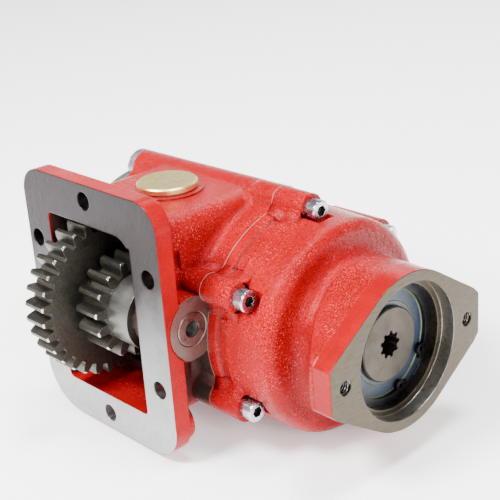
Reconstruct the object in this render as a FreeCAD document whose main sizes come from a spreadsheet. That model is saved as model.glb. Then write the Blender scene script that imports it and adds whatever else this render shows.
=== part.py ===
import FreeCAD, Part
import Sketcher
import math
import os

# A side-mounted power take off unit for a gearbox.
# +X points out of the pump face along the output shaft, -Y out of the gearbox aperture face, +Z up.
# The origin is the centre of the pilot bore, on the pump face. Lengths are in millimetres.

doc = FreeCAD.newDocument("PowerTakeOff")
sheet = doc.addObject("Spreadsheet::Sheet", "Sizes")


class Size:
    """A length that knows its number and the formula of sheet cells that gives it."""

    def __init__(self, number, text):
        self.number = number
        self.text = text

    def __neg__(self):
        return Size(-self.number, f"-({self.text})")

    def __add__(self, other):
        other = as_size(other)
        return Size(self.number + other.number, f"({self.text} + {other.text})")

    def __sub__(self, other):
        other = as_size(other)
        return Size(self.number - other.number, f"({self.text} - {other.text})")

    def __mul__(self, other):
        other = as_size(other)
        return Size(self.number * other.number, f"({self.text} * {other.text})")

    def __truediv__(self, other):
        other = as_size(other)
        return Size(self.number / other.number, f"({self.text} / {other.text})")

    __radd__ = __add__
    __rmul__ = __mul__

    def __rsub__(self, other):
        return as_size(other) - self


def as_size(value):
    return value if isinstance(value, Size) else Size(float(value), f"({float(value)})")


def root_of(value):
    return Size(math.sqrt(value.number), f"sqrt({value.text})")


def size(name, value, meaning):
    """Writes one driving dimension into the sheet and returns it."""
    row = size.row
    size.row += 1
    sheet.set(f"A{row}", name)
    sheet.set(f"B{row}", str(value))
    sheet.setAlias(f"B{row}", name)
    sheet.set(f"C{row}", meaning)
    return Size(float(value), f"Sizes.{name}")


size.row = 1
ZERO = as_size(0)

# Clearances
running_gap = size("running_gap", 0.05, "radial clearance of a running or sliding fit")
screw_gap = size("screw_gap", 0.05, "radial clearance of a screw shank in its thread")
side_gap = size("side_gap", 0.3, "axial clearance beside a thrust washer, fork or gear")
tooth_gap = size("tooth_gap", 0.1, "material taken off each tooth flank for backlash")

# Pump face and front cover
pilot_radius = size("pilot_radius", 41.275, "pilot bore of the pump face")
pilot_depth = size("pilot_depth", 9.0, "depth of the pilot bore")
pump_arc = size("pump_arc", 47.8, "outer radius of the pump flange between its ears")
pump_reach = size("pump_reach", 64.7, "shaft axis to the flat end of a pump ear")
pump_ear_half = size("pump_ear_half", 13.0, "half height of the flat end of a pump ear")
pump_ear_bevel = size("pump_ear_bevel", 4.6, "bevel beside the flat end of a pump ear")
pump_plate = size("pump_plate", 12.5, "thickness of a pump ear at its flat end")
pump_bolt_spacing = size("pump_bolt_spacing", 106.4, "distance between the two pump bolts")
pump_bolt_radius = size("pump_bolt_radius", 4.5, "tapped hole of a pump bolt")
pump_bolt_depth = size("pump_bolt_depth", 11.0, "depth of a pump bolt hole")
neck_radius = size("neck_radius", 45.0, "cover neck behind the pump flange")
neck_end = size("neck_end", 43.0, "pump face to the end of the taper behind the pump ears")
drum_radius = size("drum_radius", 65.7, "cover drum at its shoulder")
drum_front = size("drum_front", 45.5, "pump face to the drum's shoulder")
drum_round = size("drum_round", 8.0, "rounding of the drum's shoulder")
neck_round = size("neck_round", 9.0, "hollow fillet at the foot of the neck")
parting_back = size("parting_back", 94.8, "pump face to the parting plane of cover and housing")
parting_radius = size("parting_radius", 67.3, "cover and housing at the parting plane")
rim_width = size("rim_width", 6.5, "rim of the cover at the parting plane")
band_width = size("band_width", 9.0, "shallow band in the drum in front of that rim")
band_depth = size("band_depth", 2.0, "depth of that band below the rim")
drum_bore = size("drum_bore", 57.0, "inside of the drum")
drum_wall = size("drum_wall", 10.0, "front wall of the drum")

# Cover screws, bosses, gasket and dowels
screw_circle = size("screw_circle", 70.0, "radius of the circle of cover screws")
screw_radius = size("screw_radius", 4.0, "cover screw shank")
screw_head_radius = size("screw_head_radius", 6.5, "cover screw head")
screw_head_height = size("screw_head_height", 8.0, "cover screw head")
head_space = size("head_space", 1.3, "clearance round a cover screw's head in the drum")
screw_socket = size("screw_socket", 3.0, "half width across flats of the cover screw's hexagon socket")
screw_seat = size("screw_seat", 71.0, "pump face to the seats of the cover screws")
screw_boss = size("screw_boss", 9.0, "radius of a cover screw boss")
screw_grip = size("screw_grip", 16.0, "length of a cover screw in the housing")
screw_angles = (30.0, 90.0, 150.0, 210.0, 300.0)
gasket_thick = size("gasket_thick", 0.5, "gasket at the parting plane")
gasket_wall = size("gasket_wall", 9.5, "width of the gasket outside the drum bore")
dowel_radius = size("dowel_radius", 3.0, "locating dowel")
dowel_length = size("dowel_length", 14.0, "locating dowel")
dowel_circle = size("dowel_circle", 62.0, "radius of the circle of dowels")
dowel_angles = (0.0, 120.0)

# Gearbox aperture flange
face_reach = size("face_reach", 97.2, "shaft axis to the aperture face")
flange_thick = size("flange_thick", 11.0, "aperture flange")
flange_rear = size("flange_rear", 220.8, "pump face to the flange's far edge")
flange_front = size("flange_front", 93.9, "pump face to the flange's near edge")
flange_low = size("flange_low", 65.3, "shaft axis down to the flange's bottom edge")
flange_high = size("flange_high", 95.1, "shaft axis up to the flange's top edge")
flange_corner = size("flange_corner", 17.0, "upper corner radii of the flange")
flange_corner_near = size("flange_corner_near", 20.0, "corner radius of the flange, bottom near corner")
flange_corner_far = size("flange_corner_far", 28.0, "corner radius of the flange, bottom far corner")
pattern_back = size("pattern_back", 158.35, "pump face to the centre of the six hole pattern")
pattern_height = size("pattern_height", 14.9, "shaft axis up to the centre of the six hole pattern")
pattern_wide = size("pattern_wide", 106.4, "hole spacing of the side holes along the shaft")
pattern_side = size("pattern_side", 69.85, "hole spacing of the side holes up the flange")
pattern_tall = size("pattern_tall", 139.7, "spacing of the top and bottom holes")
stud_hole = size("stud_hole", 5.6, "radius of the six flange holes")
window_rear = size("window_rear", 197.2, "pump face to the window's far edge")
window_front = size("window_front", 119.4, "pump face to the window's near edge")
window_low = size("window_low", 41.9, "shaft axis down to the window's bottom edge")
window_high = size("window_high", 69.8, "shaft axis up to the window's top edge")
window_corner = size("window_corner", 3.0, "small corner radius of the window")
window_corner_large = size("window_corner_large", 13.0, "large corner radius of the window")
window_depth = size("window_depth", 34.0, "straight depth of the window behind the aperture face")

# Housing body
body_rear = size("body_rear", 226.0, "pump face to the housing's rear face")
body_radius = size("body_radius", 65.0, "housing at its rear face")
wall_inner = size("wall_inner", 192.0, "pump face to the inside of the housing's rear wall")
side_wall = size("side_wall", 8.4, "wall of the neck beside and over the window")
neck_top_wall = size("neck_top_wall", 5.0, "wall of the neck over the window")
neck_corner = size("neck_corner", 13.0, "corner radius of the neck")
neck_fillet = size("neck_fillet", 6.0, "hollow fillet where the neck meets the round body")
flange_fillet = size("flange_fillet", 4.0, "hollow fillet behind the flange, round the neck")
corner_pad = size("corner_pad", 13.0, "radius of the thicker place in the flange's bottom near corner")
corner_pad_thick = size("corner_pad_thick", 3.4, "extra thickness of that place")
wrench_radius = size("wrench_radius", 9.0, "clearance for a screw head or nut behind the flange")
wrench_depth = size("wrench_depth", 18.0, "reach of that clearance behind the flange")
ridge_fillet = size("ridge_fillet", 7.0, "hollow fillet along both sides of the selector ridge")
ridge_across = size("ridge_across", 2.0, "shaft axis across to the selector ridge")
ridge_sink = size("ridge_sink", 1.15, "mean radius of the round body down to the selector ridge's axis")
ridge_radius = size("ridge_radius", 13.0, "selector ridge at the parting plane")
ridge_radius_rear = size("ridge_radius_rear", 11.5, "selector ridge at the rear face")
plug_back = size("plug_back", 157.0, "pump face to the access plug")
plug_across = size("plug_across", 36.0, "shaft axis to the access plug, towards the aperture")
plug_seat = size("plug_seat", 76.0, "shaft axis up to the seat of the access plug")
plug_boss = size("plug_boss", 22.5, "radius of the access plug's boss")
plug_thread = size("plug_thread", 15.0, "thread radius of the access plug")
plug_head = size("plug_head", 18.8, "head radius of the access plug")
plug_head_thick = size("plug_head_thick", 3.6, "head of the access plug")
plug_shank = size("plug_shank", 14.0, "shank length of the access plug")
plug_rim = size("plug_rim", 0.9, "bevel round the top of the plug's head")
washer_thick = size("washer_thick", 0.9, "sealing washer under the plug")

# Idler train
shaft_distance = size("shaft_distance", 78.75, "idler axis to output axis")
pin_radius = size("pin_radius", 10.5, "idler pin")
pin_tap = size("pin_tap", 5.0, "extractor thread in the idler pin")
pin_tap_depth = size("pin_tap_depth", 22.0, "depth of the extractor thread")
pin_rear = size("pin_rear", 211.0, "pump face to the inner end of the idler pin")
pin_boss = size("pin_boss", 19.6, "outer boss round the idler pin")
spot_radius = size("spot_radius", 20.2, "machined spot face round the idler pin")
spot_shift = size("spot_shift", 3.3, "spot face centre beside the idler pin, towards the shaft")
washer_side = size("washer_side", 1.5, "idler thrust washer")
washer_outer = size("washer_outer", 18.0, "outer radius of the idler thrust washers")
needle_radius = size("needle_radius", 2.0, "needle roller")
needle_length = size("needle_length", 44.0, "needle roller")
needle_count = 12
big_gear_rear = size("big_gear_rear", 188.4, "pump face to the far side of the large idler gear")
big_gear_width = size("big_gear_width", 18.4, "face width of the large idler gear")
small_gear_rear = size("small_gear_rear", 164.3, "pump face to the far side of the small idler gear")
small_gear_width = size("small_gear_width", 20.1, "face width of the small idler gear")
collar_radius = size("collar_radius", 22.5, "collar of the idler gear")
collar_front = size("collar_front", 126.2, "pump face to the near end of the collar")
hub_rear = size("hub_rear", 190.4, "pump face to the far end of the idler gear's hub")
hub_radius = size("hub_radius", 21.0, "hub of the idler gear between and behind its teeth")
big_module = size("big_module", 3.0, "module of the large idler gear")
small_module = size("small_module", 3.5, "module of the small idler gear and the output gear")
tooth_bevel = size("tooth_bevel", 0.9, "bevel on the ends of the teeth")
big_teeth = 32
small_teeth = 16
output_teeth = 29
pressure_angle = 20.0
small_gear_turn = 3.0
big_gear_turn = 2.0

# Output train
shaft_front = size("shaft_front", 14.0, "pump face to the shaft's front end")
journal_front = size("journal_front", 22.5, "front bearing journal")
bearing_front_face = size("bearing_front_face", 18.6, "pump face to the front bearing")
bearing_front_width = size("bearing_front_width", 16.0, "front bearing")
bearing_front_outer = size("bearing_front_outer", 37.5, "outer radius of the front bearing")
shoulder_radius = size("shoulder_radius", 27.0, "shaft shoulder behind the front bearing")
shoulder_width = size("shoulder_width", 5.0, "shaft shoulder behind the front bearing")
shaft_radius = size("shaft_radius", 21.0, "shaft between the shoulder and the splines")
spline_front = size("spline_front", 108.0, "pump face to the near end of the shaft's splines")
spline_rear = size("spline_rear", 166.0, "pump face to the far end of the shaft's splines")
spline_outer = size("spline_outer", 20.0, "outer radius of the shaft's splines")
spline_inner = size("spline_inner", 17.5, "root radius of the shaft's splines")
spline_width = size("spline_width", 5.6, "width of one shaft spline")
spline_count = 10
journal_rear = size("journal_rear", 17.5, "rear bearing journal")
bearing_rear_face = size("bearing_rear_face", 197.0, "pump face to the rear bearing")
bearing_rear_width = size("bearing_rear_width", 17.0, "rear bearing")
bearing_rear_outer = size("bearing_rear_outer", 36.0, "outer radius of the rear bearing")
rear_lip = size("rear_lip", 31.0, "radius of the opening in front of the rear bearing")
shaft_rear = size("shaft_rear", 219.0, "pump face to the shaft's rear end")
drive_inner = size("drive_inner", 6.6, "inner radius of the female spline")
drive_outer = size("drive_outer", 8.2, "outer radius of the female spline")
drive_slot = size("drive_slot", 2.7, "width of one space of the female spline")
drive_depth = size("drive_depth", 38.0, "depth of the female spline")
drive_teeth = 9
ring_wall = size("ring_wall", 0.19, "share of a bearing's section in each of its rings")
front_ball = size("front_ball", 4.35, "ball of the front bearing")
front_balls = 12
rear_ball = size("rear_ball", 5.5, "ball of the rear bearing")
rear_balls = 9
cage_thick = size("cage_thick", 2.0, "radial thickness of a ball cage")
cage_rim = size("cage_rim", 0.9, "rim of a ball cage beside its balls")
seal_thick = size("seal_thick", 1.6, "rubber seal of the front bearing")
circlip_thick = size("circlip_thick", 2.5, "internal retaining ring")
circlip_bite = size("circlip_bite", 1.9, "depth of the retaining ring's groove")
circlip_wide = size("circlip_wide", 6.4, "radial width of the retaining ring")
circlip_gap_angle = 34.0
circlip_turn = -50.0
shaft_clip_thick = size("shaft_clip_thick", 1.8, "retaining ring behind the rear bearing")
shaft_clip_bite = size("shaft_clip_bite", 1.3, "depth of that ring's groove in the shaft")
shaft_clip_wide = size("shaft_clip_wide", 4.2, "radial width of that ring")

# Sliding gear and its shift
gear_rear = small_gear_rear
gear_width = small_gear_width
groove_radius = size("groove_radius", 34.0, "bottom of the fork groove")
groove_flange = size("groove_flange", 40.0, "flange beside the fork groove")
groove_width = size("groove_width", 6.6, "fork groove")
groove_flange_width = size("groove_flange_width", 4.0, "flange beside the fork groove")
fork_thick = size("fork_thick", 6.0, "shift fork plate")
fork_wide = size("fork_wide", 12.0, "radial width of the fork's arms")
fork_span = 75.0
fork_hub = size("fork_hub", 8.4, "hub of the shift fork")
fork_hub_length = size("fork_hub_length", 16.0, "hub of the shift fork")
rod_radius = size("rod_radius", 5.0, "shift rod")
rod_front = size("rod_front", 136.0, "pump face to the shift rod's near end")
cylinder_radius = size("cylinder_radius", 7.8, "bore of the shift cylinder")
cylinder_front = size("cylinder_front", 193.0, "pump face to the bottom of the shift cylinder")
guide_front = size("guide_front", 177.0, "pump face to the near end of the rod's guide")
channel_front = size("channel_front", 113.0, "pump face to the end of the fork's channel")
channel_radius = size("channel_radius", 9.2, "channel for the fork's hub inside the ridge")
piston_length = size("piston_length", 7.0, "piston of the shift cylinder")
piston_rear_gap = size("piston_rear_gap", 3.8, "rear cover to the piston, for the piston's nut")
piston_nut = size("piston_nut", 3.2, "height of the piston's nut")
ring_section = size("ring_section", 0.9, "section radius of the rubber rings of piston and idler pin")
ring_slack = size("ring_slack", 0.03, "clearance of a rubber ring in its groove")
fork_pin = size("fork_pin", 1.6, "spring pin that holds the fork on the rod")

# Rear cover
rear_cover_thick = size("rear_cover_thick", 5.0, "rear cover")
rear_gasket = size("rear_gasket", 0.4, "gasket under the rear cover")
rear_screw_circle = size("rear_screw_circle", 56.5, "radius of the circle of rear cover screws")
rear_screw_radius = size("rear_screw_radius", 3.0, "rear cover screw shank")
rear_head_radius = size("rear_head_radius", 5.0, "rear cover screw head")
rear_head_height = size("rear_head_height", 6.0, "rear cover screw head")
rear_socket = size("rear_socket", 2.5, "half width across flats of the rear screw's hexagon socket")
rear_grip = size("rear_grip", 14.0, "length of a rear cover screw in the housing")
rear_screw_count = 6
port_radius = size("port_radius", 5.0, "thread of the air port")
port_hex = size("port_hex", 6.5, "half width across flats of the air port's plug")
port_head = size("port_head", 6.0, "head height of the air port's plug")

# Places that several pieces share
idler_across = -root_of(shaft_distance * shaft_distance - pattern_height * pattern_height)
idler_height = pattern_height
idler_axis = (idler_across, idler_height)
ridge_height = (body_radius + parting_radius) / 2 - ridge_sink
rod_axis = (ridge_across, ridge_height)
shaft_axis = (ZERO, ZERO)
plug_axis_x = -plug_back
cover_rear = parting_back - gasket_thick
rear_cover_face = body_rear + rear_gasket


def vector(x, y, z=0.0):
    return FreeCAD.Vector(x, y, z)


def bind(item, path, value):
    """Ties one property of a document object to the sheet."""
    item.setExpression(path, value.text)


def new_body(label, axis=shaft_axis):
    """A body whose own X axis lies on a shaft axis given as (across, height)."""
    body = doc.addObject("PartDesign::Body", label)
    body.Label = label
    bind(body, "Placement.Base.y", axis[0])
    bind(body, "Placement.Base.z", axis[1])
    return body


def new_sketch(body, plane, offset=None):
    sketch = body.newObject("Sketcher::SketchObject", f"{body.Label}_sketch")
    support = [item for item in body.Origin.OriginFeatures if item.Role == plane][0]
    sketch.AttachmentSupport = (support, [""])
    sketch.MapMode = "FlatFace"
    if offset is not None:
        bind(sketch, "AttachmentOffset.Base.z", offset)
    return sketch


def pin_point(sketch, piece, end, x, y):
    """Fixes a point of a sketch at two sheet formulas, measured from the sketch's origin."""
    for kind, value, on_axis in (("DistanceX", x, -2), ("DistanceY", y, -1)):
        if value is ZERO:
            sketch.addConstraint(Sketcher.Constraint("PointOnObject", piece, end, on_axis))
            continue
        rule = sketch.addConstraint(Sketcher.Constraint(kind, -1, 1, piece, end, value.number))
        bind(sketch, f"Constraints[{rule}]", value)


def draw_outline(sketch, points):
    """A closed outline of straight lines through points given as pairs of sizes."""
    points = [(as_size(x) if x else ZERO, as_size(y) if y else ZERO) for x, y in points]
    first = sketch.GeometryCount
    count = len(points)
    for index, (x, y) in enumerate(points):
        next_x, next_y = points[(index + 1) % count]
        start = vector(x.number, y.number)
        end = vector(next_x.number, next_y.number)
        sketch.addGeometry(Part.LineSegment(start, end))
    for index in range(count):
        after = first + (index + 1) % count
        sketch.addConstraint(Sketcher.Constraint("Coincident", first + index, 2, after, 1))
    for index, (x, y) in enumerate(points):
        pin_point(sketch, first + index, 1, x, y)


def draw_circle(sketch, x, y, radius):
    centre = vector(x.number, y.number)
    ring = sketch.addGeometry(Part.Circle(centre, vector(0, 0, 1), radius.number))
    pin_point(sketch, ring, 3, x, y)
    rule = sketch.addConstraint(Sketcher.Constraint("Radius", ring, radius.number))
    bind(sketch, f"Constraints[{rule}]", radius)


def draw_rounded_box(sketch, low_x, high_x, low_y, high_y, radii):
    """A box with corner radii in the order low-low, high-low, high-high, low-high."""
    first = sketch.GeometryCount
    corners = ((low_x, low_y, 1, 1), (high_x, low_y, -1, 1), (high_x, high_y, -1, -1), (low_x, high_y, 1, -1))
    centres = []
    for (x, y, way_x, way_y), radius in zip(corners, radii):
        centres.append((x.number + way_x * radius.number, y.number + way_y * radius.number))
    for index, ((x, y), radius) in enumerate(zip(centres, radii)):
        start = math.pi + index * math.pi / 2
        bow = Part.Circle(vector(x, y), vector(0, 0, 1), radius.number)
        sketch.addGeometry(Part.ArcOfCircle(bow, start, start + math.pi / 2))
    ends = [(0, 1, 0, -1), (1, 0, 1, 0), (0, 1, 0, 1), (-1, 0, -1, 0)]
    for index in range(4):
        after = (index + 1) % 4
        x, y = centres[index]
        next_x, next_y = centres[after]
        way_x, way_y = ((0, -1), (1, 0), (0, 1), (-1, 0))[index]
        start = vector(x + way_x * radii[index].number, y + way_y * radii[index].number)
        end = vector(next_x + way_x * radii[after].number, next_y + way_y * radii[after].number)
        side = sketch.addGeometry(Part.LineSegment(start, end))
        sketch.addConstraint(Sketcher.Constraint("Tangent", first + index, 2, side, 1))
        sketch.addConstraint(Sketcher.Constraint("Tangent", side, 2, first + after, 1))
        lies = "Horizontal" if index % 2 == 0 else "Vertical"
        sketch.addConstraint(Sketcher.Constraint(lies, side))
        place = (low_y, high_x, high_y, low_x)[index]
        kind = "DistanceY" if index % 2 == 0 else "DistanceX"
        rule = sketch.addConstraint(Sketcher.Constraint(kind, -1, 1, side, 1, place.number))
        bind(sketch, f"Constraints[{rule}]", place)
    for index, radius in enumerate(radii):
        rule = sketch.addConstraint(Sketcher.Constraint("Radius", first + index, radius.number))
        bind(sketch, f"Constraints[{rule}]", radius)


def extrude(body, kind, sketch, length, backwards=False):
    """A pad or pocket of a sketch. A pocket cuts against the sketch's normal unless backwards."""
    feature = body.newObject(f"PartDesign::{kind}", f"{body.Label}_{kind.lower()}")
    feature.Profile = sketch
    bind(feature, "Length", length)
    feature.Reversed = backwards
    return feature


def revolve(body, kind, sketch):
    feature = body.newObject(f"PartDesign::{kind}", f"{body.Label}_{kind.lower()}")
    feature.Profile = sketch
    feature.ReferenceAxis = (sketch, ["H_Axis"])
    feature.Angle = 360
    return feature


def along_x(body, kind, start, end, draw):
    """Pads or pockets, from start to end along X, what draw puts in a sketch of the YZ plane."""
    sketch = new_sketch(body, "YZ_Plane", start)
    draw(sketch)
    return extrude(body, kind, sketch, end - start, backwards=(kind == "Pocket"))


def turned(label, points, axis=shaft_axis):
    """A turned piece. Its points are (distance along X, radius)."""
    body = new_body(label, axis)
    sketch = new_sketch(body, "XY_Plane")
    draw_outline(sketch, points)
    revolve(body, "Revolution", sketch)
    return body


def square_groove(body, x, half_width, floor, rim):
    """Cuts a square groove into a turned piece, such as the seat of a rubber ring."""
    sketch = new_sketch(body, "XY_Plane")
    draw_outline(sketch, [(x - half_width, floor), (x - half_width, rim),
                          (x + half_width, rim), (x + half_width, floor)])
    return revolve(body, "Groove", sketch)


def ring_groove(body, x, mean_radius, radius):
    """Cuts a round groove into a turned piece, such as a ball track."""
    sketch = new_sketch(body, "XY_Plane")
    draw_circle(sketch, x, mean_radius, radius)
    return revolve(body, "Groove", sketch)


def around(circle, angle, centre=shaft_axis):
    """The place at an angle on a circle in the YZ plane, as a pair of sizes."""
    turn = math.radians(angle)
    cosine = Size(math.cos(turn), f"cos({angle} deg)")
    sine = Size(math.sin(turn), f"sin({angle} deg)")
    return (centre[0] + circle * cosine, centre[1] + circle * sine)


def rear_screw_angles():
    return [index * 360.0 / rear_screw_count for index in range(rear_screw_count)]


def edges_of(feature, wanted):
    """The names of the feature's edges that a test accepts."""
    edges = feature.Shape.Edges
    return [f"Edge{index + 1}" for index, edge in enumerate(edges) if wanted(edge)]


def round_edges(body, wanted, radius):
    """Rounds the edges of the body's last feature that a test accepts."""
    doc.recompute()
    base = body.Tip
    names = edges_of(base, wanted)
    fillet = body.newObject("PartDesign::Fillet", f"{body.Label}_fillet")
    fillet.Base = (base, names)
    bind(fillet, "Radius", radius)
    return fillet


def is_circle_at(edge, x, radius):
    """Whether an edge is a circle round the X direction at a place and of a radius."""
    curve = edge.Curve
    if not isinstance(curve, Part.Circle):
        return False
    return abs(curve.Center.x - x) < 0.01 and abs(curve.Radius - radius) < 0.01


def group(label, pieces):
    """One sub-part made of several like solids."""
    item = doc.addObject("Part::Compound", label)
    item.Label = label
    item.Links = pieces
    return item


# Castings


def main_housing():
    body = new_body("main_housing")
    front = -parting_back

    # Round body with a slight draft, and the selector ridge along its top
    sketch = new_sketch(body, "XY_Plane")
    draw_outline(sketch, [(-body_rear, 0), (-body_rear, body_radius), (front, parting_radius), (front, 0)])
    revolve(body, "Revolution", sketch)
    sketch = new_sketch(body, "XZ_Plane", -ridge_across)
    bind(sketch, "AttachmentOffset.Base.y", ridge_height)
    draw_outline(sketch, [(-body_rear, 0), (-body_rear, -ridge_radius_rear), (front, -ridge_radius), (front, 0)])
    revolve(body, "Revolution", sketch)
    round_edges(body, is_ridge_foot, ridge_fillet)

    # Neck that joins the round body to the aperture flange
    sketch = new_sketch(body, "XZ_Plane", face_reach - flange_thick)
    draw_rounded_box(sketch, -(window_rear + side_wall), -(window_front - side_wall),
                     -(window_low + side_wall), window_high + neck_top_wall, [neck_corner] * 4)
    extrude(body, "Pad", sketch, face_reach - flange_thick, backwards=True)
    round_edges(body, is_neck_foot, neck_fillet)

    # Aperture flange
    sketch = new_sketch(body, "XZ_Plane", face_reach)
    draw_rounded_box(sketch, -flange_rear, -flange_front, -flange_low, flange_high,
                     [flange_corner_far, flange_corner_near, flange_corner, flange_corner])
    extrude(body, "Pad", sketch, flange_thick, backwards=True)
    round_edges(body, is_flange_foot, flange_fillet)
    sketch = new_sketch(body, "XZ_Plane", face_reach - 1.0)
    draw_circle(sketch, -(flange_front + corner_pad), -(flange_low - corner_pad - 7.0), corner_pad)
    extrude(body, "Pad", sketch, flange_thick + corner_pad_thick - 1.0, backwards=True)

    # Clearance behind the flange for the heads or nuts of its screws
    sketch = new_sketch(body, "XZ_Plane", face_reach - flange_thick)
    for x, z in stud_places():
        draw_circle(sketch, x, z, wrench_radius)
    extrude(body, "Pocket", sketch, wrench_depth)

    # Bosses: cover screws, idler pin at both ends, access plug
    for angle in screw_angles:
        domed_boss(body, around(screw_circle, angle), front, front - screw_grip - 1.0)
    along_x(body, "Pad", -(pin_rear + 5.0), -window_rear,
            lambda flat: draw_circle(flat, *idler_axis, pin_boss - 2.0))
    along_x(body, "Pad", -window_front, front,
            lambda flat: draw_circle(flat, *idler_axis, pin_boss))
    sketch = new_sketch(body, "XY_Plane", plug_seat)
    draw_circle(sketch, plug_axis_x, -plug_across, plug_boss)
    extrude(body, "Pad", sketch, plug_seat - 50.0, backwards=True)

    # Window, gear spaces and the bosses left standing in them
    sketch = new_sketch(body, "XZ_Plane", face_reach)
    draw_rounded_box(sketch, -window_rear, -window_front, -window_low, window_high,
                     [window_corner, window_corner, window_corner_large, window_corner])
    extrude(body, "Pocket", sketch, window_depth)
    big_tip = big_module * (big_teeth + 2) / 2
    along_x(body, "Pocket", -wall_inner, -window_front,
            lambda flat: draw_circle(flat, *idler_axis, big_tip + 2.5))
    along_x(body, "Pocket", -wall_inner, front,
            lambda flat: draw_circle(flat, ZERO, ZERO, drum_bore))
    along_x(body, "Pad", -window_rear - 1.0, -(hub_rear + washer_side + side_gap * 0.5),
            lambda flat: draw_circle(flat, *idler_axis, pin_boss - 1.0))
    along_x(body, "Pad", -(collar_front - washer_side - side_gap * 0.5), -window_front + 1.0,
            lambda flat: draw_circle(flat, *idler_axis, pin_boss - 1.0))

    # Bores: rear bearing, idler pin, selector rod and shift cylinder
    along_x(body, "Pocket", -body_rear, -bearing_rear_face,
            lambda flat: draw_circle(flat, ZERO, ZERO, bearing_rear_outer))
    along_x(body, "Pocket", -body_rear, -wall_inner,
            lambda flat: draw_circle(flat, ZERO, ZERO, rear_lip))
    along_x(body, "Pocket", -pin_rear, front, lambda flat: draw_circle(flat, *idler_axis, pin_radius))
    along_x(body, "Pocket", -body_rear, -cylinder_front,
            lambda flat: draw_circle(flat, *rod_axis, cylinder_radius))
    along_x(body, "Pocket", -body_rear, -guide_front,
            lambda flat: draw_circle(flat, *rod_axis, rod_radius + running_gap))
    along_x(body, "Pocket", -guide_front, -channel_front,
            lambda flat: draw_circle(flat, *rod_axis, channel_radius))
    along_x(body, "Pocket", -guide_front, -channel_front, fork_channel)

    # Holes: access plug, six flange holes, cover screws, dowels, rear cover screws
    sketch = new_sketch(body, "XY_Plane", plug_seat)
    draw_circle(sketch, plug_axis_x, -plug_across, plug_thread + screw_gap)
    extrude(body, "Pocket", sketch, plug_seat - 30.0)
    sketch = new_sketch(body, "XZ_Plane", face_reach)
    for x, z in stud_places():
        draw_circle(sketch, x, z, stud_hole)
    extrude(body, "Pocket", sketch, flange_thick)
    sketch = new_sketch(body, "YZ_Plane", front)
    for angle in screw_angles:
        draw_circle(sketch, *around(screw_circle, angle), screw_radius + screw_gap)
    extrude(body, "Pocket", sketch, screw_grip + 1.0)
    sketch = new_sketch(body, "YZ_Plane", front)
    for angle in dowel_angles:
        draw_circle(sketch, *around(dowel_circle, angle), dowel_radius)
    extrude(body, "Pocket", sketch, dowel_length / 2)
    sketch = new_sketch(body, "YZ_Plane", -body_rear)
    for angle in rear_screw_angles():
        draw_circle(sketch, *around(rear_screw_circle, angle), rear_screw_radius + screw_gap)
    extrude(body, "Pocket", sketch, rear_grip + 1.0, backwards=True)

    # Spot face that the cutter leaves round the pin and in the edge of the flange
    along_x(body, "Pocket", front, -flange_front + 1.0,
            lambda flat: draw_circle(flat, idler_across + spot_shift, idler_height, spot_radius))
    return body


def is_ridge_foot(edge):
    """The two long edges between the selector ridge and the round body."""
    middle = edge.valueAt((edge.FirstParameter + edge.LastParameter) / 2)
    beside = abs(abs(middle.y - ridge_across.number) - ridge_radius.number) < 2.5
    return edge.Length > 100.0 and beside and middle.z > 60.0


def is_neck_foot(edge):
    """The edges between the sides of the neck and the round body."""
    middle = edge.valueAt((edge.FirstParameter + edge.LastParameter) / 2)
    sides = (-(window_rear + side_wall).number, -(window_front - side_wall).number)
    on_side = min(abs(middle.x - side) for side in sides) < 0.01
    reach = math.hypot(middle.y, middle.z)
    return on_side and abs(reach - body_radius.number) < 3.0 and middle.z < 60.0


def is_flange_foot(edge):
    """The edges where the neck meets the rear of the aperture flange."""
    middle = edge.valueAt((edge.FirstParameter + edge.LastParameter) / 2)
    at_rear = abs(middle.y + (face_reach - flange_thick).number) < 0.01
    beside = (window_rear + side_wall).number + 0.1 > -middle.x > (window_front - side_wall).number - 0.1
    over = -(window_low + side_wall).number - 0.1 < middle.z < (window_high + neck_top_wall).number + 0.1
    return at_rear and beside and over


def domed_boss(body, place, front, back):
    """A round boss along X with a domed far end, at a place given as (across, height)."""
    sketch = new_sketch(body, "XY_Plane", place[1])
    bind(sketch, "AttachmentOffset.Base.y", place[0])
    dome = [(back, screw_boss)] + [(back - screw_boss * reach, screw_boss * rise)
                                   for reach, rise in ((0.5, 0.87), (0.87, 0.5), (1.0, 0.0))]
    draw_outline(sketch, [(front, 0), (front, screw_boss)] + dome)
    return revolve(body, "Revolution", sketch)


def fork_channel(sketch):
    """Slot below the ridge through which the fork's web reaches the gear space."""
    half = channel_radius - 1.0
    draw_outline(sketch, [(ridge_across - half, drum_bore - 12.0), (ridge_across + half, drum_bore - 12.0),
                          (ridge_across + half, ridge_height), (ridge_across - half, ridge_height)])


def stud_places():
    """Centres of the six flange holes as (x, z)."""
    x, z = -pattern_back, pattern_height
    places = [(x, z + pattern_tall / 2), (x, z - pattern_tall / 2)]
    for way_x in (-0.5, 0.5):
        for way_z in (-0.5, 0.5):
            places.append((x + pattern_wide * way_x, z + pattern_side * way_z))
    return places


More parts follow.
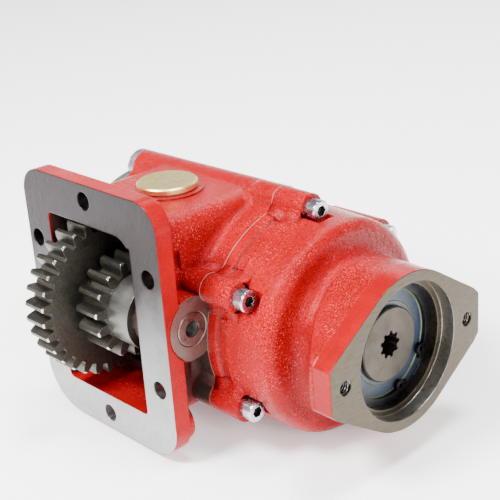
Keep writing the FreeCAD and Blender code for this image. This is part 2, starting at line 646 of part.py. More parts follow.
def draw_pump_flange(sketch):
    """Two-bolt flange: round between two ears, whose edges run tangent to the round."""
    corner_x = pump_reach - pump_ear_bevel
    corner_z = pump_ear_half + pump_ear_bevel
    reach = math.hypot(corner_x.number, corner_z.number)
    lean = math.atan2(corner_z.number, corner_x.number) + math.acos(pump_arc.number / reach)
    first = sketch.GeometryCount
    for start, end in ((lean, math.pi - lean), (math.pi + lean, 2 * math.pi - lean)):
        bow = Part.Circle(vector(0, 0), vector(0, 0, 1), pump_arc.number)
        arc = sketch.addGeometry(Part.ArcOfCircle(bow, start, end))
        sketch.addConstraint(Sketcher.Constraint("Coincident", arc, 3, -1, 1))
        rule = sketch.addConstraint(Sketcher.Constraint("Radius", arc, pump_arc.number))
        bind(sketch, f"Constraints[{rule}]", pump_arc)
    for way, from_arc, from_end, to_arc, to_end in ((-1, first, 2, first + 1, 1), (1, first + 1, 2, first, 1)):
        rise = -way
        end_x = pump_reach * way
        bend_x = corner_x * way
        places = [(bend_x, corner_z * rise), (end_x, pump_ear_half * rise),
                  (end_x, -(pump_ear_half * rise)), (bend_x, -(corner_z * rise))]
        leave = (lean if rise > 0 else math.pi + lean) if way > 0 else (math.pi - lean)
        leave = (math.pi - lean) if way < 0 else (2 * math.pi - lean)
        arrive = (math.pi + lean) if way < 0 else lean
        touch_out = vector(pump_arc.number * math.cos(leave), pump_arc.number * math.sin(leave))
        touch_in = vector(pump_arc.number * math.cos(arrive), pump_arc.number * math.sin(arrive))
        stops = [touch_out] + [vector(x.number, y.number) for x, y in places] + [touch_in]
        lines = [sketch.addGeometry(Part.LineSegment(a, b)) for a, b in zip(stops, stops[1:])]
        sketch.addConstraint(Sketcher.Constraint("Tangent", from_arc, from_end, lines[0], 1))
        sketch.addConstraint(Sketcher.Constraint("Tangent", lines[-1], 2, to_arc, to_end))
        for line, after, (x, y) in zip(lines, lines[1:], places):
            sketch.addConstraint(Sketcher.Constraint("Coincident", line, 2, after, 1))
            pin_point(sketch, line, 2, x, y)


def front_cover():
    body = new_body("front_cover")
    rear = -cover_rear

    # Drum with a slight draft, and the neck in front of it
    sketch = new_sketch(body, "XY_Plane")
    draw_outline(sketch, [(rear, 0), (rear, parting_radius), (-drum_front, drum_radius),
                          (-drum_front, neck_radius), (-pump_plate, neck_radius), (-pump_plate, 0)])
    revolve(body, "Revolution", sketch)
    round_edges(body, lambda edge: is_circle_at(edge, -drum_front.number, drum_radius.number), drum_round)
    round_edges(body, lambda edge: is_circle_at(edge, -drum_front.number, neck_radius.number), neck_round)
    sketch = new_sketch(body, "XY_Plane")
    band_rear, band_front = -(parting_back - rim_width), -(parting_back - rim_width - band_width)
    floor = parting_radius - band_depth
    far = parting_radius + 1.0
    draw_outline(sketch, [(band_rear - 1.5, far), (band_rear + band_depth, floor),
                          (band_front - band_depth, floor), (band_front + 1.5, far)])
    revolve(body, "Groove", sketch)

    # Pump flange, whose ears taper back into the neck
    along_x(body, "Pad", -(neck_end - 9.0), ZERO, draw_pump_flange)
    cone_end = neck_end - 8.0
    sketch = new_sketch(body, "XY_Plane")
    far = pump_reach + 12.0
    draw_outline(sketch, [(-(cone_end + 2.0), neck_radius), (-cone_end, neck_radius + 1.0),
                          (-pump_plate, pump_reach + 3.5), (-pump_plate, far), (-(cone_end + 2.0), far)])
    revolve(body, "Groove", sketch)

    # Screw bosses along the drum
    for angle in screw_angles:
        across, height = around(screw_circle, angle)
        along_x(body, "Pad", rear, -screw_seat,
                lambda flat: draw_circle(flat, across, height, screw_boss))
        along_x(body, "Pocket", -screw_seat, -(screw_seat - screw_head_height - 4.0),
                lambda flat: draw_circle(flat, across, height, screw_head_radius + head_space))

    # Inside: drum, bearing seat, retaining ring groove, pilot bore
    along_x(body, "Pocket", rear, -(drum_front + drum_wall),
            lambda flat: draw_circle(flat, ZERO, ZERO, drum_bore))
    stop = bearing_front_face + bearing_front_width
    along_x(body, "Pocket", rear, -stop,
            lambda flat: draw_circle(flat, ZERO, ZERO, bearing_front_outer - 4.0))
    along_x(body, "Pocket", -stop, ZERO,
            lambda flat: draw_circle(flat, ZERO, ZERO, bearing_front_outer))
    along_x(body, "Pocket", -(bearing_front_face - seal_thick), -(bearing_front_face - seal_thick - circlip_thick),
            lambda flat: draw_circle(flat, ZERO, ZERO, bearing_front_outer + circlip_bite))
    along_x(body, "Pocket", -pilot_depth, ZERO,
            lambda flat: draw_circle(flat, ZERO, ZERO, pilot_radius))

    # Holes: pump bolts, cover screws, dowels
    sketch = new_sketch(body, "YZ_Plane", ZERO)
    for way in (-0.5, 0.5):
        draw_circle(sketch, pump_bolt_spacing * way, ZERO, pump_bolt_radius)
    extrude(body, "Pocket", sketch, pump_bolt_depth)
    sketch = new_sketch(body, "YZ_Plane", -screw_seat)
    for angle in screw_angles:
        draw_circle(sketch, *around(screw_circle, angle), screw_radius + screw_gap * 4)
    extrude(body, "Pocket", sketch, cover_rear - screw_seat)
    sketch = new_sketch(body, "YZ_Plane", rear)
    for angle in dowel_angles:
        draw_circle(sketch, *around(dowel_circle, angle), dowel_radius)
    extrude(body, "Pocket", sketch, dowel_length / 2 - gasket_thick, backwards=True)
    return body


def cover_gasket():
    body = new_body("cover_gasket")
    start, end = -parting_back, -cover_rear
    along_x(body, "Pad", start, end, lambda flat: draw_circle(flat, ZERO, ZERO, parting_radius))
    for angle in screw_angles:
        across, height = around(screw_circle, angle)
        along_x(body, "Pad", start, end, lambda flat: draw_circle(flat, across, height, screw_boss))
    along_x(body, "Pocket", start, end,
            lambda flat: draw_circle(flat, ZERO, ZERO, parting_radius - gasket_wall))
    for angle in screw_angles:
        across, height = around(screw_circle, angle)
        along_x(body, "Pocket", start, end,
                lambda flat: draw_circle(flat, across, height, screw_radius + screw_gap))
    for angle in dowel_angles:
        across, height = around(dowel_circle, angle)
        along_x(body, "Pocket", start, end,
                lambda flat: draw_circle(flat, across, height, dowel_radius))
    return body


def draw_rear_outline(sketch):
    draw_circle(sketch, ZERO, ZERO, body_radius)


def rear_cover():
    """End plate over the rear bearing and the shift cylinder."""
    body = new_body("rear_cover")
    start, end = -(rear_cover_face + rear_cover_thick), -rear_cover_face
    along_x(body, "Pad", start, end, draw_rear_outline)
    along_x(body, "Pad", start, end, lambda flat: draw_circle(flat, *rod_axis, ridge_radius_rear))
    spigot = -(bearing_rear_face + bearing_rear_width)
    along_x(body, "Pad", end, spigot,
            lambda flat: draw_ring(flat, bearing_rear_outer - running_gap, rear_lip))
    along_x(body, "Pocket", start, end, lambda flat: draw_circle(flat, *rod_axis, port_radius))
    for angle in rear_screw_angles():
        across, height = around(rear_screw_circle, angle)
        along_x(body, "Pocket", start, end,
                lambda flat: draw_circle(flat, across, height, rear_screw_radius + screw_gap * 3))
    return body


def rear_cover_gasket():
    body = new_body("rear_cover_gasket")
    start, end = -rear_cover_face, -body_rear
    along_x(body, "Pad", start, end, draw_rear_outline)
    along_x(body, "Pad", start, end, lambda flat: draw_circle(flat, *rod_axis, ridge_radius_rear))
    along_x(body, "Pocket", start, end, lambda flat: draw_circle(flat, *rod_axis, cylinder_radius))
    along_x(body, "Pocket", start, end,
            lambda flat: draw_circle(flat, ZERO, ZERO, bearing_rear_outer + 2.0))
    for angle in rear_screw_angles():
        across, height = around(rear_screw_circle, angle)
        along_x(body, "Pocket", start, end,
                lambda flat: draw_circle(flat, across, height, rear_screw_radius + screw_gap))
    return body


# Fasteners


def draw_hexagon(sketch, centre, half_flats):
    """A hexagon given by half its width across flats."""
    corner = half_flats * (2.0 / math.sqrt(3.0))
    draw_outline(sketch, [around(corner, 60.0 * index, centre) for index in range(6)])


def socket_screw(label, place, seat, shank_radius, head, socket, shank, outwards):
    """A socket head screw whose head sits on a seat at X and points outwards (1) or inwards (-1)."""
    head_radius, head_height = head
    body = new_body(label, place)
    top = seat + head_height * outwards
    bevel = head_radius * 0.1
    sketch = new_sketch(body, "XY_Plane")
    draw_outline(sketch, [(seat - shank * outwards, 0), (seat - shank * outwards, shank_radius),
                          (seat, shank_radius), (seat, head_radius), (top - bevel * outwards, head_radius),
                          (top, head_radius - bevel), (top, 0)])
    revolve(body, "Revolution", sketch)
    floor = top - head_height * (0.5 * outwards)
    low, high = (floor, top) if outwards > 0 else (top, floor)
    along_x(body, "Pocket", low, high, lambda flat: draw_hexagon(flat, shaft_axis, socket))
    return body


def cover_screws():
    pieces = []
    for index, angle in enumerate(screw_angles):
        place = around(screw_circle, angle)
        pieces.append(socket_screw(f"cover_screw_{index + 1}", place, -screw_seat, screw_radius,
                                   (screw_head_radius, screw_head_height), screw_socket,
                                   parting_back - screw_seat + screw_grip, 1))
    return group("cover_screws", pieces)


def rear_cover_screws():
    pieces = []
    for index, angle in enumerate(rear_screw_angles()):
        place = around(rear_screw_circle, angle)
        pieces.append(socket_screw(f"rear_screw_{index + 1}", place, -(rear_cover_face + rear_cover_thick),
                                   rear_screw_radius, (rear_head_radius, rear_head_height), rear_socket,
                                   rear_cover_thick + rear_gasket + rear_grip, -1))
    return group("rear_cover_screws", pieces)


def cover_dowels():
    pieces = []
    half = dowel_length / 2
    bevel = dowel_radius * 0.15
    for index, angle in enumerate(dowel_angles):
        low, high = -(parting_back + half), -(parting_back - half)
        pieces.append(turned(f"cover_dowel_{index + 1}",
                             [(low, 0), (low, dowel_radius - bevel), (low + bevel, dowel_radius),
                              (high - bevel, dowel_radius), (high, dowel_radius - bevel), (high, 0)],
                             around(dowel_circle, angle)))
    return group("cover_dowels", pieces)


def access_plug():
    """Large flat plug over the gears, with two blind holes for a pin spanner."""
    body = doc.addObject("PartDesign::Body", "access_plug")
    body.Label = "access_plug"
    bind(body, "Placement.Base.x", plug_axis_x)
    bind(body, "Placement.Base.y", -plug_across)
    low = plug_seat + washer_thick
    top = low + plug_head_thick
    sketch = new_sketch(body, "XZ_Plane")
    draw_outline(sketch, [(0, low - plug_shank), (plug_thread - 1.0, low - plug_shank),
                          (plug_thread, low - plug_shank + 1.0), (plug_thread, low), (plug_head, low),
                          (plug_head, top - plug_rim), (plug_head - plug_rim, top), (0, top)])
    feature = body.newObject("PartDesign::Revolution", "access_plug_revolution")
    feature.Profile = sketch
    feature.ReferenceAxis = (sketch, ["V_Axis"])
    feature.Angle = 360
    sketch = new_sketch(body, "XY_Plane", top)
    for way in (-1, 1):
        draw_circle(sketch, plug_head * (0.3 * way), plug_head * (0.12 * way), as_size(1.3))
    extrude(body, "Pocket", sketch, plug_head_thick * 0.6)
    sketch = new_sketch(body, "XY_Plane", low - plug_shank)
    draw_circle(sketch, ZERO, ZERO, plug_thread - 3.0)
    extrude(body, "Pocket", sketch, plug_shank - 2.0, backwards=True)
    return body


def plug_washer():
    body = doc.addObject("PartDesign::Body", "plug_washer")
    body.Label = "plug_washer"
    bind(body, "Placement.Base.x", plug_axis_x)
    bind(body, "Placement.Base.y", -plug_across)
    sketch = new_sketch(body, "XY_Plane", plug_seat)
    draw_circle(sketch, ZERO, ZERO, plug_head - 1.2)
    draw_circle(sketch, ZERO, ZERO, plug_thread + 0.2)
    extrude(body, "Pad", sketch, washer_thick)
    return body


def port_plug():
    """Hexagon plug in the air port of the rear cover."""
    outer = -(rear_cover_face + rear_cover_thick)
    inner = -rear_cover_face
    body = turned("port_plug", [(outer, 0), (outer, port_radius - screw_gap),
                                (inner, port_radius - screw_gap), (inner, 0)], rod_axis)
    along_x(body, "Pad", outer - port_head, outer, lambda flat: draw_hexagon(flat, shaft_axis, port_hex))
    return body


# Gears


def involute_point(base_radius, radius):
    """Polar angle, past the start of the involute, at which it reaches a radius."""
    roll = math.sqrt((radius / base_radius) ** 2 - 1.0)
    return roll - math.atan(roll)


def gear_wire(teeth, module, flank_gap, turn):
    """Closed outline of an involute gear in the YZ plane, with one tooth centred at a turn in degrees."""
    pitch_radius = module * teeth / 2
    base_radius = pitch_radius * math.cos(math.radians(pressure_angle))
    tip_radius = pitch_radius + module
    root_radius = pitch_radius - 1.25 * module
    half_pitch = math.pi / (2 * teeth) - flank_gap / pitch_radius
    at_pitch = involute_point(base_radius, pitch_radius)

    def half_angle(radius):
        if radius <= base_radius:
            return half_pitch + at_pitch
        return half_pitch + at_pitch - involute_point(base_radius, radius)

    def place(radius, angle):
        return vector(0, radius * math.cos(angle), radius * math.sin(angle))

    flank_start = max(base_radius, root_radius + 0.25 * module)
    middle = (flank_start + tip_radius) / 2
    edges = []
    for index in range(teeth):
        centre = math.radians(turn) + 2 * math.pi * index / teeth
        following = centre + 2 * math.pi / teeth
        tip, low = half_angle(tip_radius), half_angle(flank_start)
        root = low + 0.1 * module / root_radius
        rise = [place(flank_start, centre - low), place(middle, centre - half_angle(middle)),
                place(tip_radius, centre - tip)]
        fall = [place(tip_radius, centre + tip), place(middle, centre + half_angle(middle)),
                place(flank_start, centre + low)]
        edges.append(Part.Arc(*rise).toShape())
        edges.append(Part.Arc(rise[2], place(tip_radius, centre), fall[0]).toShape())
        edges.append(Part.Arc(*fall).toShape())
        leave, arrive = place(root_radius, centre + root), place(root_radius, following - root)
        edges.append(Part.LineSegment(fall[2], leave).toShape())
        edges.append(Part.Arc(leave, place(root_radius, centre + math.pi / teeth), arrive).toShape())
        edges.append(Part.LineSegment(arrive, place(flank_start, following - low)).toShape())
    return Part.Wire(edges)


def toothed_disc(teeth, module, turn, start, width):
    """A spur gear blank from start to start plus width, with its tooth ends bevelled."""
    tip = module * (teeth + 2) / 2
    bevel = tooth_bevel.number
    blank = Part.Face(gear_wire(teeth, module, tooth_gap.number, turn)).extrude(vector(width, 0, 0))
    blank.translate(vector(start, 0, 0))
    end = start + width
    far = tip + 1.0
    edge = bevel + 1.0
    profile = [vector(start, 0), vector(start, tip - bevel), vector(start + edge, far),
               vector(end - edge, far), vector(end, tip - bevel), vector(end, 0)]
    envelope = Part.Face(Part.makePolygon(profile + profile[:1])).revolve(vector(0, 0), vector(1, 0), 360)
    return blank.common(envelope)


def ring_solid(start, end, outer, inner=0.0):
    """A round or hollow round bar along X."""
    bar = Part.makeCylinder(outer, end - start, vector(start, 0, 0), vector(1, 0, 0))
    if inner:
        bar = bar.cut(Part.makeCylinder(inner, end - start, vector(start, 0, 0), vector(1, 0, 0)))
    return bar


def mesh_direction():
    """Direction in degrees, in the YZ plane, from the idler axis to the output axis."""
    return math.degrees(math.atan2(-idler_height.number, -idler_across.number))


def made_piece(label, shape, axis=shaft_axis):
    item = doc.addObject("Part::Feature", label)
    item.Label = label
    item.Shape = shape
    item.Placement = FreeCAD.Placement(vector(0, axis[0].number, axis[1].number), FreeCAD.Rotation())
    return item


def idler_gear():
    """Large gear, small gear and collar cut from one forging."""
    big = toothed_disc(big_teeth, big_module.number, mesh_direction() + big_gear_turn,
                       -big_gear_rear.number, big_gear_width.number)
    small = toothed_disc(small_teeth, small_module.number, mesh_direction() + small_gear_turn,
                         -small_gear_rear.number, small_gear_width.number)
    hub = ring_solid(-hub_rear.number, -small_gear_rear.number + 1.0, hub_radius.number)
    collar = ring_solid(-small_gear_rear.number + 1.0, -collar_front.number, collar_radius.number)
    bore = ring_solid(-hub_rear.number, -collar_front.number, needle_track().number)
    return made_piece("idler_gear", big.fuse([small, hub, collar]).cut(bore).removeSplitter(), idler_axis)


def needle_track():
    """Bore of the idler gear, just clear of the needles."""
    return pin_radius + needle_radius * 2 + running_gap * 2


def sliding_gear():
    """Output gear with a fork groove in front of its teeth and splines in its bore."""
    turn = mesh_direction() + 180.0 + 180.0 / output_teeth - small_gear_turn * small_teeth / output_teeth
    rear = -gear_rear.number
    front = rear + gear_width.number
    gear = toothed_disc(output_teeth, small_module.number, turn, rear, gear_width.number)
    groove_end = front + groove_width.number
    neck = ring_solid(front, groove_end, groove_radius.number)
    flange = ring_solid(groove_end, groove_end + groove_flange_width.number, groove_flange.number)
    end = groove_end + groove_flange_width.number
    bore = ring_solid(rear, end, spline_inner.number + running_gap.number)
    cuts = [bore]
    wide = spline_width.number + 2 * running_gap.number
    tall = spline_outer.number + running_gap.number
    for index in range(spline_count):
        slot = Part.makeBox(end - rear, tall, wide, vector(rear, 0, -wide / 2))
        slot = slot.common(ring_solid(rear, end, tall))
        slot.rotate(vector(0, 0, 0), vector(1, 0, 0), 360.0 * index / spline_count)
        cuts.append(slot)
    return made_piece("sliding_gear", gear.fuse([neck, flange]).cut(cuts[0].fuse(cuts[1:])))


# Idler train


def idler_pin():
    front, rear = -parting_back, -pin_rear
    body = turned("idler_pin", [(rear, 0), (rear, pin_radius - 1.0), (rear + 1.0, pin_radius),
                                (front - 0.6, pin_radius), (front, pin_radius - 0.6), (front, 0)], idler_axis)
    along_x(body, "Pocket", front - pin_tap_depth, front,
            lambda flat: draw_circle(flat, ZERO, ZERO, pin_tap))
    floor = pin_radius - ring_section * 2 - ring_slack * 2
    square_groove(body, ring_place(), ring_section + ring_slack, floor, pin_radius + 1.0)
    return body


def ring_place():
    """Where the idler pin's rubber ring sits in the front boss."""
    return -(parting_back + 9.0)


def idler_pin_ring():
    body = new_body("idler_pin_ring", idler_axis)
    sketch = new_sketch(body, "XY_Plane")
    draw_circle(sketch, ring_place(), pin_radius - ring_section - ring_slack, ring_section)
    revolve(body, "Revolution", sketch)
    return body


def idler_thrust_washers():
    places = (-(hub_rear + side_gap * 0.25), -(collar_front - washer_side - side_gap * 0.25))
    pieces = []
    for index, high in enumerate(places):
        low = high - washer_side
        pieces.append(turned(f"idler_thrust_washer_{index + 1}",
                             [(low, pin_radius + running_gap), (low, washer_outer), (high, washer_outer),
                              (high, pin_radius + running_gap)], idler_axis))
    return group("idler_thrust_washers", pieces)


def needle_middle():
    return -((hub_rear + collar_front) / 2)


def idler_needles():
    pieces = []
    start = needle_middle() - needle_length / 2
    for index in range(needle_count):
        place = around(pin_radius + needle_radius + running_gap, 360.0 * index / needle_count, idler_axis)
        needle = doc.addObject("Part::Cylinder", f"needle_{index + 1}")
        bind(needle, "Radius", needle_radius)
        bind(needle, "Height", needle_length)
        needle.Placement.Rotation = FreeCAD.Rotation(vector(0, 1, 0), 90)
        bind(needle, "Placement.Base.x", start)
        bind(needle, "Placement.Base.y", place[0])
        bind(needle, "Placement.Base.z", place[1])
        pieces.append(needle)
    return group("idler_needles", pieces)


def idler_needle_cage():
    """Two end rings joined by bars between the needles."""
    body = new_body("idler_needle_cage", idler_axis)
    inner = pin_radius + side_gap
    outer = needle_track() - side_gap
    half = needle_length / 2
    middle = needle_middle()
    low, high = middle - half - 3.0, middle + half + 3.0
    sketch = new_sketch(body, "XY_Plane")
    draw_outline(sketch, [(low, inner), (low, outer), (high, outer), (high, inner)])
    revolve(body, "Revolution", sketch)
    sketch = new_sketch(body, "YZ_Plane", middle - half - 0.1)
    for index in range(needle_count):
        draw_circle(sketch, *around(pin_radius + needle_radius + running_gap, 360.0 * index / needle_count),
                    needle_radius + running_gap * 2)
    extrude(body, "Pocket", sketch, needle_length + 0.2, backwards=True)
    return body


# Output train


def output_shaft():
    front, rear = -shaft_front, -shaft_rear
    stop = -(bearing_front_face + bearing_front_width)
    body = turned("output_shaft", [
        (rear, 0), (rear, journal_rear - 1.0), (rear + 1.0, journal_rear),
        (-bearing_rear_face, journal_rear), (-bearing_rear_face, spline_outer),
        (-spline_rear, spline_outer), (-spline_rear, spline_inner), (-spline_front, spline_inner),
        (-spline_front, shaft_radius), (stop - shoulder_width, shaft_radius),
        (stop - shoulder_width, shoulder_radius), (stop, shoulder_radius), (stop, journal_front),
        (front - 0.6, journal_front), (front, journal_front - 0.6), (front, 0)])
    for index in range(spline_count):
        along_x(body, "Pad", -spline_rear, -spline_front,
                lambda flat: draw_turned_box(flat, 360.0 * index / spline_count))
    clip = bearing_rear_face + bearing_rear_width
    ring = new_sketch(body, "XY_Plane")
    draw_outline(ring, [(-(clip + shaft_clip_thick), journal_rear - shaft_clip_bite),
                        (-clip, journal_rear - shaft_clip_bite), (-clip, journal_rear + 1.0),
                        (-(clip + shaft_clip_thick), journal_rear + 1.0)])
    revolve(body, "Groove", ring)
    along_x(body, "Pocket", front - drive_depth, front,
            lambda flat: draw_circle(flat, ZERO, ZERO, drive_inner))
    for index in range(drive_teeth):
        along_x(body, "Pocket", front - drive_depth, front,
                lambda flat: draw_drive_space(flat, 360.0 * index / drive_teeth))
    return body


def turn_point(x, y, angle):
    """A point given by two sizes, turned about the origin by an angle in degrees."""
    turn = math.radians(angle)
    cosine = Size(math.cos(turn), f"cos({angle} deg)")
    sine = Size(math.sin(turn), f"sin({angle} deg)")
    return (x * cosine - y * sine, x * sine + y * cosine)


def draw_turned_box(sketch, angle):
    """Section of one shaft spline."""
    half = spline_width / 2
    low, high = spline_inner - 2.0, spline_outer
    top = Size(math.sqrt(high.number ** 2 - half.number ** 2),
               f"sqrt({high.text}^2 - ({half.text})^2)")
    corners = [(low, -half), (top, -half), (top, half), (low, half)]
    draw_outline(sketch, [turn_point(x, y, angle) for x, y in corners])


def draw_drive_space(sketch, angle):
    """Section of one space of the female spline, narrower at its outer end."""
    half = drive_slot / 2
    low, high = drive_inner - 0.8, drive_outer
    corners = [(low, -half * 1.15), (high, -half * 0.72), (high, half * 0.72), (low, half * 1.15)]
    draw_outline(sketch, [turn_point(x, y, angle) for x, y in corners])


def bearing_radii(inner, outer):
    """Radii of the inner ring's outside, the ball circle and the outer ring's inside."""
    section = outer - inner
    return inner + section * ring_wall * 1.6, (inner + outer) / 2, outer - section * ring_wall * 1.6


def ball_bearing(label, face, width, inner, outer, ball, count):
    """Outer ring, inner ring, balls and cage of a ball bearing whose front face is at a depth."""
    high, low = -face, -(face + width)
    middle = (low + high) / 2
    land_inner, pitch, land_outer = bearing_radii(inner, outer)
    bevel = 0.8
    ring = turned(f"{label}_outer", [(low, land_outer), (low, outer - bevel), (low + bevel, outer),
                                     (high - bevel, outer), (high, outer - bevel), (high, land_outer)])
    ring_groove(ring, middle, pitch, ball + running_gap)
    core = turned(f"{label}_inner", [(low, inner), (low, land_inner), (high, land_inner), (high, inner)])
    ring_groove(core, middle, pitch, ball + running_gap)
    balls = []
    for index in range(count):
        place = around(pitch, 360.0 * index / count)
        piece = doc.addObject("Part::Sphere", f"{label}_ball_{index + 1}")
        bind(piece, "Radius", ball)
        bind(piece, "Placement.Base.x", middle)
        bind(piece, "Placement.Base.y", place[0])
        bind(piece, "Placement.Base.z", place[1])
        balls.append(piece)
    holder = new_body(f"{label}_cage")
    sketch = new_sketch(holder, "XY_Plane")
    half = ball + cage_rim
    low_wall, high_wall = pitch - cage_thick / 2, pitch + cage_thick / 2
    draw_outline(sketch, [(middle - half, low_wall), (middle - half, high_wall),
                          (middle + half, high_wall), (middle + half, low_wall)])
    revolve(holder, "Revolution", sketch)
    pockets = [holder]
    cage = ball_pockets(label, pockets[0], middle, pitch, ball, count)
    return [ring, core, group(f"{label}_balls", balls), cage]


def ball_pockets(label, ring, middle, pitch, ball, count):
    """The cage ring less a ball-shaped pocket for each ball."""
    tools = []
    for index in range(count):
        place = around(pitch, 360.0 * index / count)
        tool = doc.addObject("Part::Sphere", f"{label}_pocket_{index + 1}")
        bind(tool, "Radius", ball + running_gap)
        bind(tool, "Placement.Base.x", middle)
        bind(tool, "Placement.Base.y", place[0])
        bind(tool, "Placement.Base.z", place[1])
        tools.append(tool)
    fused = doc.addObject("Part::MultiFuse", f"{label}_pockets")
    fused.Shapes = tools
    cage = doc.addObject("Part::Cut", f"{label}_cage_cut")
    cage.Base = ring
    cage.Tool = fused
    ring.Label = f"{label}_cage_ring"
    cage.Label = f"{label}_cage"
    return cage


def front_bearing_seal():
    """Rubber seal between the front bearing and its retaining ring, with two stepped lips."""
    land_inner, pitch, land_outer = bearing_radii(journal_front, bearing_front_outer)
    low = -bearing_front_face
    high = low + seal_thick
    lip = journal_front + 0.1
    return turned("front_bearing_seal", [(low + 0.4, lip), (low + 0.4, land_outer + 0.4), (low, land_outer + 0.4),
                                         (low, bearing_front_outer), (high, bearing_front_outer),
                                         (high, pitch + 2.4), (high - 0.5, pitch + 2.0),
                                         (high - 0.5, lip + 2.6), (high - 0.1, lip + 2.2), (high - 0.1, lip)])


def bearing_circlip():
    """Internal retaining ring with a gap between two drilled lugs."""
    body = new_body("bearing_circlip")
    start = -(bearing_front_face - seal_thick)
    end = start + circlip_thick
    outer = bearing_front_outer + circlip_bite - 0.1
    inner = outer - circlip_wide
    lug = circlip_gap_angle / 2 + 6.0
    along_x(body, "Pad", start, end, lambda flat: draw_ring(flat, outer, inner))
    for way in (-1, 1):
        across, height = around(inner - 0.5, circlip_turn + way * lug)
        along_x(body, "Pad", start, end, lambda flat: draw_circle(flat, across, height, as_size(3.6)))
    along_x(body, "Pocket", start, end, lambda flat: draw_gap(flat, outer))
    for way in (-1, 1):
        across, height = around(inner - 0.5, circlip_turn + way * lug)
        along_x(body, "Pocket", start, end, lambda flat: draw_circle(flat, across, height, as_size(1.5)))
    return body


def draw_ring(sketch, outer, inner):
    draw_circle(sketch, ZERO, ZERO, outer)
    draw_circle(sketch, ZERO, ZERO, inner)


def draw_gap(sketch, outer):
    """Wedge between the lugs of the internal retaining ring."""
    half = circlip_gap_angle / 2
    reach = outer + 3.0
    draw_outline(sketch, [around(outer * 0.5, circlip_turn), around(reach, circlip_turn - half),
                          around(reach, circlip_turn + half)])


def shaft_circlip():
    body = new_body("shaft_circlip")
    face = bearing_rear_face + bearing_rear_width
    start, end = -(face + shaft_clip_thick), -face
    inner = journal_rear - shaft_clip_bite
    along_x(body, "Pad", start, end, lambda flat: draw_ring(flat, inner + shaft_clip_wide, inner))
    wide = shaft_clip_wide
    along_x(body, "Pocket", start, end,
            lambda flat: draw_outline(flat, [(-wide, inner - 3.0), (wide, inner - 3.0),
                                             (wide * 1.3, inner + wide + 3.0), (-wide * 1.3, inner + wide + 3.0)]))
    return body


# Shift gear


def shift_rod():
    rear = -(body_rear - piston_rear_gap + piston_nut)
    shoulder = -(body_rear - piston_rear_gap) + piston_length
    front = -rod_front
    thin = rod_radius - 1.5
    body = turned("shift_rod", [(rear, 0), (rear, thin), (shoulder, thin), (shoulder, rod_radius),
                                (front - 0.8, rod_radius), (front, rod_radius - 0.8), (front, 0)], rod_axis)
    sketch = new_sketch(body, "XZ_Plane", rod_radius + 1.0)
    draw_circle(sketch, fork_pin_place(), ZERO, fork_pin)
    extrude(body, "Pocket", sketch, rod_radius * 2 + 2.0)
    return body


def shift_piston():
    low = -(body_rear - piston_rear_gap)
    high = low + piston_length
    thin = rod_radius - 1.5
    outer = cylinder_radius - running_gap
    body = turned("shift_piston", [(low, thin), (low, outer - 0.5), (low + 0.5, outer), (high - 0.5, outer),
                                   (high, outer - 0.5), (high, thin)], rod_axis)
    floor = outer - ring_section * 2 - ring_slack * 2
    square_groove(body, (low + high) / 2, ring_section + ring_slack, floor, outer + 1.0)
    return body


def piston_ring():
    low = -(body_rear - piston_rear_gap)
    body = new_body("piston_ring", rod_axis)
    sketch = new_sketch(body, "XY_Plane")
    reach = cylinder_radius - running_gap - ring_section - ring_slack
    draw_circle(sketch, low + piston_length / 2, reach, ring_section)
    revolve(body, "Revolution", sketch)
    return body


def piston_nut_piece():
    high = -(body_rear - piston_rear_gap)
    body = new_body("piston_nut", rod_axis)
    thin = rod_radius - 1.5
    along_x(body, "Pad", high - piston_nut, high, lambda flat: draw_hexagon(flat, shaft_axis, thin + 2.2))
    along_x(body, "Pocket", high - piston_nut, high, lambda flat: draw_circle(flat, ZERO, ZERO, thin))
    return body


def fork_faces():
    """Near and far faces of the fork's plate, centred in the groove."""
    low = gear_width - gear_rear + (groove_width - fork_thick) / 2
    return low, low + fork_thick


def shift_fork():
    """Horseshoe plate in the gear's groove, hung from a hub on the rod."""
    low, high = fork_faces()
    inner = groove_radius + side_gap
    outer = inner + fork_wide
    ring = ring_solid(low.number, high.number, outer.number, inner.number)
    keep = fork_keep(low.number, high.number, outer.number)
    plate = ring.common(keep)
    across, height = rod_axis
    web_half = fork_hub.number * 0.8
    web = Part.makeBox(fork_thick.number, 2 * web_half, height.number - inner.number - 3.0,
                       vector(low.number, across.number - web_half, inner.number + 3.0))
    hub = Part.makeCylinder(fork_hub.number, fork_hub_length.number,
                            vector(high.number - fork_hub_length.number, across.number, height.number),
                            vector(1, 0, 0))
    bore = Part.makeCylinder(rod_radius.number, fork_hub_length.number + 2.0,
                             vector(high.number - fork_hub_length.number - 1.0, across.number, height.number),
                             vector(1, 0, 0))
    cross = Part.makeCylinder(fork_pin.number, 4 * fork_hub.number,
                              vector(fork_pin_place().number, across.number - 2 * fork_hub.number, height.number),
                              vector(0, 1, 0))
    return made_piece("shift_fork", plate.fuse([web, hub]).cut([bore, cross]))


def fork_keep(low, high, outer):
    """Sector above the shaft that the fork's arms cover."""
    reach = outer + 2.0
    span = math.radians(fork_span)
    steps = [-span, -span / 2, 0, span / 2, span]
    fan = [vector(low, 0, 0)]
    for turn in steps:
        stretch = reach / math.cos(span / 4)
        fan.append(vector(low, stretch * math.sin(turn), stretch * math.cos(turn)))
    return Part.Face(Part.makePolygon(fan + fan[:1])).extrude(vector(high - low, 0, 0))


def fork_pin_place():
    low, high = fork_faces()
    return high - fork_hub_length + 4.5


def fork_pin_piece():
    pin = doc.addObject("Part::Cylinder", "fork_pin")
    pin.Label = "fork_pin"
    bind(pin, "Radius", fork_pin)
    bind(pin, "Height", fork_hub * 1.9)
    pin.Placement.Rotation = FreeCAD.Rotation(vector(1, 0, 0), -90)
    bind(pin, "Placement.Base.x", fork_pin_place())
    bind(pin, "Placement.Base.y", ridge_across - fork_hub * 0.95)
    bind(pin, "Placement.Base.z", ridge_height)
    return pin


